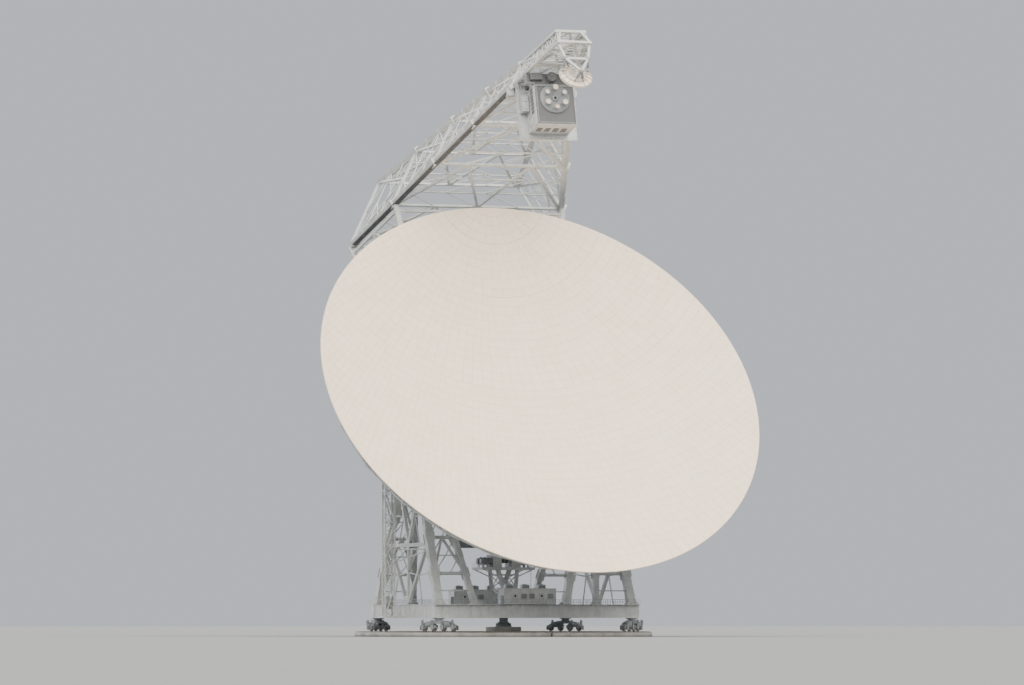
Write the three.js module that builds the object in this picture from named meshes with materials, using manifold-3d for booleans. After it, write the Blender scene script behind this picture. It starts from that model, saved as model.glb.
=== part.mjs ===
// A fully steerable radio telescope with an off-axis dish, as a 1:10 model.
// The dish looks towards -Y, +Z is up, and the origin is on the ground at the azimuth axis.
import * as THREE from 'three';
import { mergeVertices } from 'three/addons/utils/BufferGeometryUtils.js';
import Module from 'manifold-3d';

const wasm = await Module();
wasm.setup();

// Every size below is in metres of the full-size structure. METRE makes it millimetres of the model.
const METRE = 100;
const SEAT = 0.003;

// Main dimensions
const TRACK_RADIUS = 32;
const CORNER = TRACK_RADIUS / Math.SQRT2;
const TRACK_TOP = 1.2;
const AXLE_HEIGHT = 48.2;
const BEAM_BOTTOM = 4.2;
const BEAM_TOP = 7.2;
const BEAM_WIDTH = 2.2;
const BEARING_X = 21;
const BEARING_HALF = 1.6;
const BEAM_ELEVATION = 16;
const APERTURE_RADIUS = 50;
const FOCAL_LENGTH = 60;
const VERTEX_OFFSET = 54;
const VERTEX_DROP = 5;
const SHELL_THICKNESS = 0.22;
const WHEEL_RADIUS = 30;

// Colours and finishes
const WHITE_STEEL = { color: 0xdfe0dc, roughness: 0.55, metalness: 0.1 };
const GREY_STEEL = { color: 0x8d9193, roughness: 0.5, metalness: 0.5 };
const CONCRETE = { color: 0xa9a69d, roughness: 0.95, metalness: 0 };
const PANEL_WHITE = { color: 0xe9e6df, roughness: 0.6, metalness: 0.1 };
const CABIN_WHITE = { color: 0xd8d8d2, roughness: 0.7, metalness: 0 };

// Solid making

function toSolid(geometry) {
  const bare = geometry.clone();
  bare.deleteAttribute('normal');
  bare.deleteAttribute('uv');
  const merged = mergeVertices(bare, 1e-3);
  return new wasm.Manifold(new wasm.Mesh({
    numProp: 3,
    vertProperties: new Float32Array(merged.attributes.position.array),
    triVerts: new Uint32Array(merged.index.array),
  }));
}

function toGeometry(solid) {
  const mesh = solid.getMesh();
  const points = new Float32Array(mesh.numVert * 3);
  for (let i = 0; i < mesh.numVert; i += 1) {
    const from = i * mesh.numProp;
    points.set(mesh.vertProperties.subarray(from, from + 3), i * 3);
  }
  const geometry = new THREE.BufferGeometry();
  geometry.setAttribute('position', new THREE.BufferAttribute(points, 3));
  geometry.setIndex(new THREE.BufferAttribute(new Uint32Array(mesh.triVerts), 1));
  return geometry;
}

const join = (solids) => solids.reduce((sum, next) => sum.add(next));
const cut = (solid, cutters) => cutters.reduce((left, cutter) => left.subtract(cutter), solid);

// The largest body of a solid. Cutting a strut inside a chord can leave a crumb, which is dropped.
function mainBody(solid) {
  const bodies = solid.decompose().sort((a, b) => b.volume() - a.volume());
  if (bodies.length > 1 && bodies[1].volume() > 0.03 * bodies[0].volume()) {
    throw new Error(`a piece fell into ${bodies.length} bodies: ${bodies.map((b) => b.volume() | 0)}`);
  }
  return bodies[0];
}

const vector = (p) => new THREE.Vector3(...p).multiplyScalar(METRE);
const mix = (a, b, t) => a.map((v, i) => v + (b[i] - v) * t);

// A straight box-section member from a to b. Its depth is measured along facing.
function strut(a, b, width, facing = [0, 0, 1], depth = width) {
  const start = vector(a);
  const end = vector(b);
  const along = end.clone().sub(start);
  const length = along.length();
  along.normalize();
  const across = new THREE.Vector3(...facing).cross(along);
  if (across.lengthSq() < 1e-6) across.set(1, 0, 0);
  across.normalize();
  const up = along.clone().cross(across);
  const box = new THREE.BoxGeometry(width * METRE, depth * METRE, length);
  box.applyMatrix4(new THREE.Matrix4().makeBasis(across, up, along)
    .setPosition(start.add(end).multiplyScalar(0.5)));
  return toSolid(box);
}

// The same member with a seating gap added all round, as a cutter for its neighbours
function grown([a, b, width, facing, depth = width]) {
  const share = SEAT / Math.hypot(...a.map((v, i) => b[i] - v));
  return strut(mix(b, a, 1 + share), mix(a, b, 1 + share), width + 2 * SEAT, facing, depth + 2 * SEAT);
}

const struts = (list) => join(list.map((bar) => strut(...bar)));

function block(low, high) {
  const size = vector(high.map((v, i) => v - low[i]));
  const middle = vector(mix(low, high, 0.5));
  return toSolid(new THREE.BoxGeometry(size.x, size.y, size.z)
    .translate(middle.x, middle.y, middle.z));
}

// A round bar or disc centred at a point, along an axis given as 'x', 'y' or 'z'.
function disc(centre, radius, length, axis, sides, topRadius = radius) {
  const shape = new THREE.CylinderGeometry(topRadius * METRE, radius * METRE, length * METRE, sides);
  shape.rotateY(Math.PI / sides);
  if (axis === 'x') shape.rotateZ(-Math.PI / 2);
  if (axis === 'z') shape.rotateX(Math.PI / 2);
  const middle = vector(centre);
  return toSolid(shape.translate(middle.x, middle.y, middle.z));
}

// A flat ring or part of one about the Z axis, from angle start over sweep, in degrees.
function ring(inner, outer, low, high, start, sweep, steps) {
  const outline = [];
  const polar = (radius, i) => {
    const angle = THREE.MathUtils.degToRad(start + (sweep * i) / steps);
    return new THREE.Vector2(radius * Math.cos(angle) * METRE, radius * Math.sin(angle) * METRE);
  };
  for (let i = 0; i <= steps; i += 1) outline.push(polar(outer, i));
  for (let i = steps; i >= 0; i -= 1) outline.push(polar(inner, i));
  const shape = new THREE.ExtrudeGeometry(new THREE.Shape(outline),
    { depth: (high - low) * METRE, bevelEnabled: false, steps: 1 });
  return toSolid(shape.translate(0, 0, low * METRE));
}

function fullRing(inner, outer, low, high, steps) {
  return disc([0, 0, (low + high) / 2], outer, high - low, 'z', steps)
    .subtract(disc([0, 0, (low + high) / 2], inner, high - low + 1, 'z', steps));
}

// Scene graph

const telescope = new THREE.Group();
const alidade = new THREE.Group();
const tipping = new THREE.Group();
tipping.position.set(0, 0, AXLE_HEIGHT * METRE);
tipping.rotation.x = THREE.MathUtils.degToRad(90 - BEAM_ELEVATION);
telescope.add(alidade, tipping);

function place(group, name, solid, finish) {
  const mesh = new THREE.Mesh(toGeometry(mainBody(solid)), new THREE.MeshStandardMaterial(finish));
  mesh.name = name;
  group.add(mesh);
}

// Moves the sides of a polygon inwards. distances[i] belongs to the side from point i to point i + 1.
function inset(points, distances) {
  const lines = points.map((point, i) => {
    const side = points[(i + 1) % points.length].clone().sub(point).normalize();
    const inward = new THREE.Vector2(-side.y, side.x);
    return { base: point.clone().addScaledVector(inward, distances[i]), side };
  });
  return lines.map((line, i) => {
    const before = lines[(i + lines.length - 1) % lines.length];
    const reach = line.base.clone().sub(before.base).cross(line.side) / before.side.cross(line.side);
    return before.base.clone().addScaledVector(before.side, reach);
  });
}

// The triangular openings of one bay of bracing, between cross members a0-b0 and a1-b1.
// zigzags is the number of V shapes in the bay; with none it has one diagonal, leaning by turns.
function bayOpenings(a0, b0, a1, b1, zigzags, leansBack, half) {
  const { chord, rung, brace } = half;
  if (zigzags === 0) {
    return leansBack
      ? [[[a0, b0, a1], [rung, brace, chord]], [[b0, b1, a1], [chord, rung, brace]]]
      : [[[a0, b0, b1], [rung, chord, brace]], [[a0, b1, a1], [brace, rung, chord]]];
  }
  const foot = (k) => mix(a1, b1, (k + 0.5) / zigzags);
  const head = (k) => mix(a0, b0, k / zigzags);
  const openings = [
    [[a0, foot(0), a1], [brace, rung, chord]],
    [[b0, b1, foot(zigzags - 1)], [chord, rung, brace]],
  ];
  for (let k = 0; k < zigzags; k += 1) {
    openings.push([[head(k), head(k + 1), foot(k)], [rung, brace, brace]]);
    if (k > 0) openings.push([[foot(k - 1), head(k), foot(k)], [brace, brace, rung]]);
  }
  return openings;
}

// A flat lattice between two rows of points, cut from one plate. half holds the half widths of
// its chords (and how far the plate reaches past them), cross members and braces.
function lattice(rowA, rowB, zigzags, half, thickness) {
  const origin = vector(rowA[0]);
  const across = vector(rowB[0]).sub(origin).normalize();
  const normal = across.clone().cross(vector(rowA[rowA.length - 1]).sub(origin)).normalize();
  const along = normal.clone().cross(across);
  const flat = (p) => {
    const offset = vector(p).sub(origin);
    return new THREE.Vector2(offset.dot(across), offset.dot(along));
  };
  const scaled = (values) => values.map((v) => v * METRE);
  const last = rowA.length - 1;
  const rim = [...rowA.slice(0, 1), ...rowB, ...rowA.slice(1).reverse()].map(flat);
  const margins = rim.map((point, i) => (i === 0 || i === last + 1 ? -half.rung : -half.reach));
  const bends = (point, i) => {
    const before = point.clone().sub(rim.at(i - 1)).normalize();
    const after = rim[(i + 1) % rim.length].clone().sub(point).normalize();
    return Math.abs(before.cross(after)) > 1e-4;
  };
  const bent = rim.map(bends);
  const kept = (values) => values.filter((value, i) => bent[i]);
  const shape = new THREE.Shape(inset(kept(rim), scaled(kept(margins))));
  // Each opening is a hair smaller than the last, because the plate can't be triangulated when
  // the corners of two openings lie in one line.
  for (let i = 0; i < last; i += 1) {
    const bay = [rowA[i], rowB[i], rowA[i + 1], rowB[i + 1]];
    bayOpenings(...bay, zigzags[i], i % 2 === 1, half).forEach(([points, halves]) => {
      const corners = points.map(flat);
      const around = corners.reduce((sum, point, j) => sum + point.distanceTo(corners[(j + 1) % 3]), 0);
      const room = (2 * THREE.ShapeUtils.area(corners)) / around;
      if (room < 1.3 * METRE * Math.max(...halves)) return;
      const tighter = 0.5 * shape.holes.length;
      shape.holes.push(new THREE.Path(inset(corners, scaled(halves).map((v) => v + tighter))));
    });
  }
  const plate = new THREE.ExtrudeGeometry(shape, { depth: thickness * METRE, bevelEnabled: false, steps: 1 });
  plate.translate(0, 0, (-thickness / 2) * METRE);
  const placed = new THREE.Matrix4().makeBasis(across, along, normal).setPosition(origin);
  return toSolid(plate.applyMatrix4(placed));
}

const stationsOn = (line, stations) => stations.map((t) => mix(...line, t));

// Foundations

function makeFoundations() {
  const steps = 12;
  const joint = 0.15;
  for (let i = 0; i < 4; i += 1) {
    place(telescope, `track_footing_${i + 1}`, ring(30.4, 33.6, 0, 0.9,
      90 * i + joint / 32, 90 - joint / 16, steps), CONCRETE);
  }
  place(telescope, 'azimuth_track', fullRing(31.4, 32.6, 0.9 + SEAT, TRACK_TOP, 48), GREY_STEEL);
  place(telescope, 'pintle_foundation', disc([0, 0, 1.1], 4, 2.2, 'z', 24), CONCRETE);
  place(telescope, 'pintle_bearing', disc([0, 0, 2.7], 1.9, 1, 'z', 24)
    .add(disc([0, 0, 4.6], 1, 3.6, 'z', 24)).subtract(block([-5, -5, 0], [5, 5, 2.2 + SEAT])), GREY_STEEL);
}

// Azimuth frame

const BEAM_INSIDE = CORNER - BEAM_WIDTH / 2;
const BEAM_REACH = CORNER + 1.4;

function makeBaseFrame() {
  [['front', -1], ['rear', 1]].forEach(([side, sign]) => {
    const y = sign * CORNER;
    place(alidade, `base_beam_${side}`, block([-BEAM_REACH, y - BEAM_WIDTH / 2, BEAM_BOTTOM],
      [BEAM_REACH, y + BEAM_WIDTH / 2, BEAM_TOP]), WHITE_STEEL);
  });
  [['left', -1], ['right', 1]].forEach(([side, sign]) => {
    const x = sign * CORNER;
    const end = BEAM_INSIDE - SEAT;
    place(alidade, `base_beam_${side}`, block([x - BEAM_WIDTH / 2, -end, BEAM_BOTTOM],
      [x + BEAM_WIDTH / 2, end, BEAM_TOP]), WHITE_STEEL);
  });
  const reach = BEAM_INSIDE - SEAT;
  const cross = block([-reach, -0.9, BEAM_BOTTOM + 0.4], [reach, 0.9, BEAM_TOP - 0.4])
    .add(block([-0.9, -reach, BEAM_BOTTOM + 0.4], [0.9, reach, BEAM_TOP - 0.4]))
    .add(disc([0, 0, 5.7], 2.6, 2.2, 'z', 24))
    .subtract(disc([0, 0, 5], 1.04, 3.2, 'z', 24));
  place(alidade, 'pintle_cross_beams', cross, WHITE_STEEL);
}

const TRUCK_WHEEL_RADIUS = 0.76;
const TRUCK_WHEEL_SIDES = 12;
const TRUCK_WHEEL_STEP = 4.3;

function makeTruck(name, angle) {
  const hub = TRACK_TOP + SEAT + TRUCK_WHEEL_RADIUS * Math.cos(Math.PI / TRUCK_WHEEL_SIDES);
  const turned = (solid, degrees) => toSolid(toGeometry(solid).rotateZ(THREE.MathUtils.degToRad(degrees)));
  const wheels = [-1.5, -0.5, 0.5, 1.5].map((step) => turned(
    disc([TRACK_RADIUS, 0, hub], TRUCK_WHEEL_RADIUS, 0.5, 'x', TRUCK_WHEEL_SIDES), step * TRUCK_WHEEL_STEP));
  const bogie = block([TRACK_RADIUS - 0.62, -1.9, hub - 0.2], [TRACK_RADIUS + 0.62, 1.9, hub + 1.1]);
  const bogies = [-1, 1].map((sign) => turned(bogie, sign * TRUCK_WHEEL_STEP));
  const saddle = block([TRACK_RADIUS - 0.8, -3.2, hub + 0.95], [TRACK_RADIUS + 0.8, 3.2, hub + 1.6]);
  const pivot = block([TRACK_RADIUS - 1.1, -1.4, hub + 1.3], [TRACK_RADIUS + 1.1, 1.4, BEAM_BOTTOM - SEAT]);
  place(alidade, name, turned(join([...wheels, ...bogies, saddle, pivot]), angle), GREY_STEEL);
}

// Each tower face is a flat lattice: an outer leg, an inner leg and lacing between them.
const LEG_TOP = 44.2;
const LEG_TOP_Y = 2.6;
const legs = {
  outer: [[CORNER, CORNER, BEAM_TOP - 0.4], [BEARING_X + 0.9, LEG_TOP_Y, LEG_TOP + 0.8]],
  inner: [[14.2, CORNER, BEAM_TOP - 0.4], [BEARING_X - 1, LEG_TOP_Y, LEG_TOP + 0.8]],
};
const LEG_STATIONS = [0.19, 0.4, 0.6, 0.8];
const faceNormal = new THREE.Vector3(0, LEG_TOP - BEAM_TOP, CORNER - LEG_TOP_Y).normalize().toArray();
const inQuarter = (line, signX, signY) => line.map((p) => [p[0] * signX, p[1] * signY, p[2]]);

function legBars(signX, signY) {
  const facing = [0, faceNormal[1] * signY, faceNormal[2]];
  return [[...inQuarter(legs.outer, signX, signY), 1.7, facing],
    [...inQuarter(legs.inner, signX, signY), 1.2, facing]];
}

function makeTowers() {
  const ground = block([-30, -30, 0], [30, 30, BEAM_TOP + SEAT]);
  const roof = block([-30, -30, LEG_TOP - SEAT], [30, 30, 60]);
  const middle = block([-30, -0.4, 0], [30, 0.4, 60]);
  const half = { chord: 0.4, reach: 0, rung: 0.3, brace: 0.25 };
  [['front', -1], ['rear', 1]].forEach(([depthName, signY]) => {
    [['left', -1], ['right', 1]].forEach(([sideName, signX]) => {
      const [outer, inner] = [legs.outer, legs.inner].map((line) => inQuarter(line, signX, signY));
      const web = lattice(stationsOn(outer, LEG_STATIONS), stationsOn(inner, LEG_STATIONS),
        [1, 1, 1], half, 0.5);
      const tower = cut(join([web, struts(legBars(signX, signY))]), [ground, roof, middle]);
      place(alidade, `tower_${sideName}_${depthName}`, tower, WHITE_STEEL);
    });
  });
}

// The bracing that fills the A between a side's front and rear legs
function makeSideFrames() {
  [['left', -1], ['right', 1]].forEach(([sideName, signX]) => {
    const facing = [1, 0, 0];
    const level = (t, signY) => mix(...inQuarter(legs.outer, signX, signY), t);
    const bars = [0.36, 0.69].map((t) => [level(t, -1), level(t, 1), 0.8, facing]);
    const foot = [signX * CORNER, 0, BEAM_TOP - 0.4];
    const low = mix(level(0.36, -1), level(0.36, 1), 0.5);
    const beside = (t, signY) => {
      const p = level(t, signY);
      return [p[0], p[1] - signY * 1.8, p[2]];
    };
    [-1, 1].forEach((signY) => {
      bars.push([foot, beside(0.36, signY), 0.7, facing], [low, beside(0.69, signY), 0.7, facing]);
    });
    bars.push([foot, low, 0.6, facing]);
    const frame = cut(struts(bars), [
      block([-30, -30, 0], [30, 30, BEAM_TOP + SEAT]),
      ...[-1, 1].flatMap((signY) => legBars(signX, signY).map(grown)),
    ]);
    place(alidade, `side_frame_${sideName}`, frame, WHITE_STEEL);
  });
}

function makeBearings() {
  [['left', -1], ['right', 1]].forEach(([sideName, signX]) => {
    const x = signX * BEARING_X;
    const head = block([x - 2.6, -4, LEG_TOP], [x + 2.6, 4, LEG_TOP + 1.4])
      .add(block([x - BEARING_HALF, -2.6, LEG_TOP], [x + BEARING_HALF, 2.6, AXLE_HEIGHT]))
      .add(disc([x, 0, AXLE_HEIGHT], 2.6, 2 * BEARING_HALF, 'x', 24))
      .subtract(disc([x, 0, AXLE_HEIGHT], 1.42, 8, 'x', 24));
    place(alidade, `elevation_bearing_${sideName}`, head, WHITE_STEEL);
  });
}

const DRIVE_TOP = 15.6;

function makeDrive() {
  const low = BEAM_TOP - 0.4 + SEAT;
  const legBars = [-1, 1].flatMap((sx) => [-1, 1].map((sy) => (
    [[0.5 * sx, 6 * sy, low - 0.5], [2.4 * sx, 2.6 * sy, DRIVE_TOP], 0.8])));
  const pedestal = struts(legBars).add(block([-3.4, -3.6, DRIVE_TOP - 0.5], [3.4, 3.6, DRIVE_TOP]))
    .subtract(block([-9, -9, 0], [9, 9, low]));
  place(alidade, 'elevation_drive_pedestal', pedestal, WHITE_STEEL);
  [['left', -1], ['right', 1]].forEach(([sideName, sign]) => {
    const x = [1.3 * sign, 3.2 * sign].sort((a, b) => a - b);
    place(alidade, `elevation_drive_${sideName}`, block([x[0], -2.4, DRIVE_TOP + SEAT],
      [x[1], 2.4, DRIVE_TOP + 2.8]), GREY_STEEL);
  });
}

function makeCabins() {
  const floor = BEAM_TOP + SEAT;
  const front = block([-8, -CORNER - 1.9, floor], [4, -CORNER + 2.1, floor + 3.4]);
  const rear = block([-5, CORNER - 2.1, floor], [7, CORNER + 1.9, floor + 3.4]);
  place(alidade, 'equipment_room_front', front, CABIN_WHITE);
  place(alidade, 'equipment_room_rear', rear, CABIN_WHITE);
}

// Lift shaft outside the left tower: four posts, landings and one landing bridge to the bearing
const LIFT = { x: -27.2, half: 1.1, top: 47 };

function makeLift() {
  const { x, half, top } = LIFT;
  const low = BEAM_BOTTOM;
  const levels = [0, 1, 2, 3, 4, 5, 6].map((k) => low + 0.2 + ((top - low - 0.4) * k) / 6);
  const size = { chord: 0.15, reach: 0.15, rung: 0.14, brace: 0.11 };
  const faces = [-half, half].map((y) => lattice(levels.map((z) => [x - half, y, z]),
    levels.map((z) => [x + half, y, z]), [0, 0, 0, 0, 0, 0], size, 0.3));
  const ties = levels.filter((z, k) => k % 2 === 0)
    .flatMap((z) => [-half, half].map((side) => strut([x + side, -half, z], [x + side, half, z], 0.26)));
  const wall = -CORNER - BEAM_WIDTH / 2 - SEAT;
  const shaft = join([...faces, ...ties])
    .add(block([x + half - 0.2, -1.12, low], [wall, 1.12, low + 0.5]))
    .add(block([x + half - 0.2, -1.12, LEG_TOP + 0.4], [-BEARING_X - 2.6 - SEAT, 1.12, LEG_TOP + 0.9]));
  place(alidade, 'lift_shaft', shaft, WHITE_STEEL);
}

// Tipping structure. Its own frame has the elevation axis as X, and +Z along the beam.
// The feed arm is on the +Y side.

const surface = (x, y) => (x * x + (VERTEX_OFFSET - y) ** 2) / (4 * FOCAL_LENGTH) + VERTEX_DROP;

const BOX = { x: 15.6, post: 10, y: 12, low: -12 };
const boxTop = (y) => 2.4 + (BOX.y - y) * 0.36;

// Two side frames, two end frames and a few ties. grow makes it a cutter for its neighbours.
function boxSolid(grow) {
  const row = (points, height) => points.map(([x, y]) => [x, y, height(y)]);
  const floor = () => BOX.low;
  const half = { chord: 0.55 + grow, reach: 0.55 + grow, rung: 0.5 + grow, brace: 0.35 + grow };
  const sides = [-1, 1].map((sign) => {
    const plan = [-BOX.y, 0, BOX.y].map((y) => [sign * BOX.x, y]);
    return lattice(row(plan, floor), row(plan, boxTop), [0, 0], half, 1.1 + 2 * grow);
  });
  const ends = [-1, 1].map((sign) => {
    const plan = [-BOX.x, -BOX.post, BOX.post, BOX.x].map((x) => [x, sign * BOX.y]);
    return lattice(row(plan, floor), row(plan, boxTop), [0, 0, 0], half, 1 + 2 * grow);
  });
  const bars = [floor, boxTop].flatMap((height) => [
    [[-BOX.x, 0, height(0)], [BOX.x, 0, height(0)], 0.9],
    ...[-BOX.post, BOX.post].map((x) => [[x, -BOX.y, height(-BOX.y)], [x, BOX.y, height(BOX.y)], 0.8]),
  ]);
  const ties = bars.map((bar) => (grow > 0 ? grown(bar) : strut(...bar)));
  return join([...sides, ...ends, ...ties]);
}

function makeBox() {
  const hubs = [-BOX.x, BOX.x].map((x) => disc([x, 0, 0], 2.2, 1.6, 'x', 20));
  place(tipping, 'box_structure', join([boxSolid(0), ...hubs]), WHITE_STEEL);
  [['left', -1], ['right', 1]].forEach(([sideName, sign]) => {
    const inner = BOX.x + 0.8 + SEAT;
    const shaft = disc([sign * (inner + 0.25), 0, 0], 2, 0.5, 'x', 24)
      .add(disc([sign * (inner + BEARING_X + BEARING_HALF + 0.5) / 2, 0, 0], 1.35,
        BEARING_X + BEARING_HALF + 0.5 - inner, 'x', 24));
    place(tipping, `elevation_shaft_${sideName}`, shaft, GREY_STEEL);
  });
}

// A point on the elevation wheel, at an angle from straight down towards the dish's far rim
function wheelPoint(angle, radius, x = 0) {
  const turn = THREE.MathUtils.degToRad(angle);
  return [x, -radius * Math.sin(turn), -radius * Math.cos(turn)];
}

const WHEEL = { from: -10, to: 95, depth: 1.8, width: 1.3 };

function wheelRim(grow) {
  const outline = [];
  const steps = 21;
  const rimPoint = (radius, i) => {
    const p = wheelPoint(WHEEL.from + ((WHEEL.to - WHEEL.from) * i) / steps, radius);
    return new THREE.Vector2(p[1] * METRE, p[2] * METRE);
  };
  for (let i = 0; i <= steps; i += 1) outline.push(rimPoint(WHEEL_RADIUS, i));
  for (let i = steps; i >= 0; i -= 1) outline.push(rimPoint(WHEEL_RADIUS - WHEEL.depth - grow, i));
  const shape = new THREE.ExtrudeGeometry(new THREE.Shape(outline),
    { depth: (WHEEL.width + 2 * grow) * METRE, bevelEnabled: false, steps: 1 });
  // The outline holds (y, z), so the axes are turned round to put the rim's width on X.
  shape.applyMatrix4(new THREE.Matrix4().makeBasis(
    new THREE.Vector3(0, 1, 0), new THREE.Vector3(0, 0, 1), new THREE.Vector3(1, 0, 0)));
  shape.translate((-WHEEL.width / 2 - grow) * METRE, 0, 0);
  return toSolid(shape);
}

const COUNTERWEIGHT = { angle: 44, near: 18.6, far: 28, half: 7.5, inner: 0.7, outer: 9.5 };

// Each side of the wheel has a fan of spokes from the box structure and half of a stiffening arc.
function makeWheel() {
  place(tipping, 'elevation_wheel', wheelRim(0), GREY_STEEL);
  const inside = WHEEL_RADIUS - WHEEL.depth - SEAT;
  const back = [BOX.post, BOX.y, BOX.low];
  const middle = [BOX.post, 0, BOX.low];
  const front = [BOX.post, -BOX.y, boxTop(-BOX.y)];
  const spokes = [[back, -8], [middle, 8], [middle, 26], [front, 62], [front, 78], [front, 93]];
  const arc = [-8, 8, 26, 44, 62, 78, 93];
  const otherSide = (sign) => (
    sign > 0 ? block([-20, -40, -40], [SEAT, 40, 40]) : block([-SEAT, -40, -40], [20, 40, 40]));
  [['left', -1], ['right', 1]].forEach(([sideName, sign]) => {
    const bars = spokes.map(([root, angle]) => (
      [[root[0] * sign, root[1], root[2]], wheelPoint(angle, inside, 0.3 * sign), 0.7]));
    const arcPoint = (angle) => wheelPoint(angle, inside - 0.5, 0.3 * sign);
    arc.slice(1).forEach((angle, i) => bars.push([arcPoint(arc[i]), arcPoint(angle), 0.5]));
    const fan = cut(struts(bars), [wheelRim(SEAT), boxSolid(SEAT), otherSide(sign)]);
    place(tipping, `wheel_spokes_${sideName}`, fan, WHITE_STEEL);
  });
}

// Two ballast boxes hang on lugs from the lower front edge of the box structure.
function makeCounterweights() {
  const { angle, near, far, half, inner, outer } = COUNTERWEIGHT;
  [['left', -1], ['right', 1]].forEach(([sideName, sign]) => {
    const span = (a, b) => [a * sign, b * sign].sort((low, high) => low - high);
    const [x0, x1] = span(inner, outer);
    const lugs = [1.2, 6.4].map((x) => span(x, x + 1))
      .map(([a, b]) => block([a, -1.1, -near - 0.5], [b, 1.1, -16.4]));
    const hung = join([block([x0, -half, -far], [x1, half, -near]), ...lugs]);
    const turned = toSolid(toGeometry(hung).rotateX(THREE.MathUtils.degToRad(-angle)));
    const clear = cut(turned, [boxSolid(SEAT)]);
    place(tipping, `counterweight_${sideName}`, clear, GREY_STEEL);
  });
}

// Feed arm. Four chords rise from its foot to the level of the receiver room.
const ARM_FOOT = -23;
const ARM_HEAD = 46;
const ARM_CAP = ARM_HEAD + 0.3;
const armChord = {
  front: [[25.5, 50, ARM_FOOT], [7.2, 63.5, ARM_HEAD]],
  back: [[17, 66, ARM_FOOT], [4.5, 69, ARM_HEAD]],
};
const ARM_STATIONS = [0, 0.27, 0.53, 0.77, 1];
const ARM_ZIGZAGS = [2, 2, 1, 1];
const ARM_CHORD = 1.1;
const ARM_HALF = { chord: 0.35, reach: 0, rung: 0.3, brace: 0.25 };
const onSide = (line, sign) => line.map((p) => [p[0] * sign, p[1], p[2]]);

// The chords run a little past the arm's head, where the flat cap is cut.
function armChordBars(sign) {
  const facing = [sign * 16, -8.5, 0];
  return [armChord.front, armChord.back].map((line) => {
    const [foot, head] = onSide(line, sign);
    return [foot, mix(foot, head, 1.01), ARM_CHORD, facing];
  });
}

function armSide(sign) {
  const web = lattice(stationsOn(onSide(armChord.front, sign), ARM_STATIONS),
    stationsOn(onSide(armChord.back, sign), ARM_STATIONS), [1, 1, 1, 1], ARM_HALF, 0.5);
  return join([web, struts(armChordBars(sign))]);
}

// The bracing between the left and right chords of one face, with a strip beside each chord
function armFace(face) {
  const edge = (sign) => onSide(armChord[face], sign).map((p) => [p[0] - sign * 0.7, p[1], p[2]]);
  const half = { chord: 0.16, reach: 0.16, rung: 0.3, brace: 0.25 };
  const [left, right] = [-1, 1].map((sign) => stationsOn(edge(sign), ARM_STATIONS));
  return lattice(left, right, ARM_ZIGZAGS, half, 0.5);
}

const horizontalChord = {
  top: [[BOX.x, BOX.y, -3.4], mix(...armChord.front, 20 / 69)],
  bottom: [[BOX.x, BOX.y, BOX.low], armChord.front[0]],
};
const DECK_STATIONS = [0.03, 0.34, 0.65, 0.95];

function horizontalChordBars(sign) {
  const facing = [1, 0, 0];
  return [
    [...onSide(horizontalChord.top, sign), 1, facing],
    [...onSide(horizontalChord.bottom, sign), 1.1, facing],
  ];
}

// The two chords of a side don't lie in one plane, so its posts and braces are straight members
// from line to line. Each bay has two braces that meet in the middle of the next post.
function horizontalArmSide(sign) {
  const facing = [1, 0, 0];
  const feet = stationsOn(onSide(horizontalChord.bottom, sign), DECK_STATIONS);
  const heads = stationsOn(onSide(horizontalChord.top, sign), DECK_STATIONS);
  const posts = feet.map((foot, i) => [foot, heads[i], 0.6, facing]);
  const braces = feet.slice(1).flatMap((foot, i) => {
    const middle = mix(foot, heads[i + 1], 0.5);
    return [[feet[i], middle, 0.5, facing], [heads[i], middle, 0.5, facing]];
  });
  return struts([...horizontalChordBars(sign), ...posts, ...braces]);
}

function makeFeedArm() {
  const chordCutters = [-1, 1].flatMap((sign) => armChordBars(sign).map(grown));
  const [frontLeft, frontRight] = [-1, 1].map((sign) => onSide(armChord.front, sign));
  const frontSheet = lattice(frontLeft, frontRight, [0],
    { chord: 40, reach: 0, rung: 0.4, brace: 40 }, 0.5 + 2 * SEAT);
  const aboveCap = block([-12, 40, ARM_CAP], [12, 80, ARM_CAP + 8]);
  [['left', -1], ['right', 1]].forEach(([sideName, sign]) => {
    place(tipping, `feed_arm_${sideName}`, cut(armSide(sign), [aboveCap]), WHITE_STEEL);
    const side = cut(horizontalArmSide(sign), [boxSolid(SEAT), ...chordCutters, frontSheet]);
    place(tipping, `horizontal_arm_${sideName}`, side, WHITE_STEEL);
  });
  ['front', 'back'].forEach((face) => {
    place(tipping, `feed_arm_${face}_bracing`, cut(armFace(face), [...chordCutters, aboveCap]), WHITE_STEEL);
  });
  const stations = DECK_STATIONS.slice(1);
  const deck = (line, size) => {
    const edge = (sign) => onSide(line, sign).map((p) => [p[0] - sign * 0.6, p[1], p[2]]);
    const half = { chord: 0.16, reach: 0.16, rung: 0.3, brace: 0.25 };
    return lattice(stationsOn(edge(-1), stations), stationsOn(edge(1), stations), [1, 1], half, size);
  };
  const sideCutters = [-1, 1].flatMap((sign) => horizontalChordBars(sign).map(grown));
  ['top', 'bottom'].forEach((level) => {
    const bracing = cut(deck(horizontalChord[level], 0.5), sideCutters);
    place(tipping, `horizontal_arm_${level}_bracing`, bracing, WHITE_STEEL);
  });
}

// Upper arm: a slender mast on the arm's head that carries the receiver room and the subreflector
const MAST = {
  front: [[6.4, 64.1, ARM_CAP + 0.15], [3.6, 65.2, 69.4]],
  back: [[4.4, 68.9, ARM_CAP + 0.15], [3.2, 68.4, 67.6]],
};
const MAST_STATIONS = [0, 0.48, 1];
const ROOM = { x: 4.5, near: 52, far: 61, floor: 48, roof: 53.4 };

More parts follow.
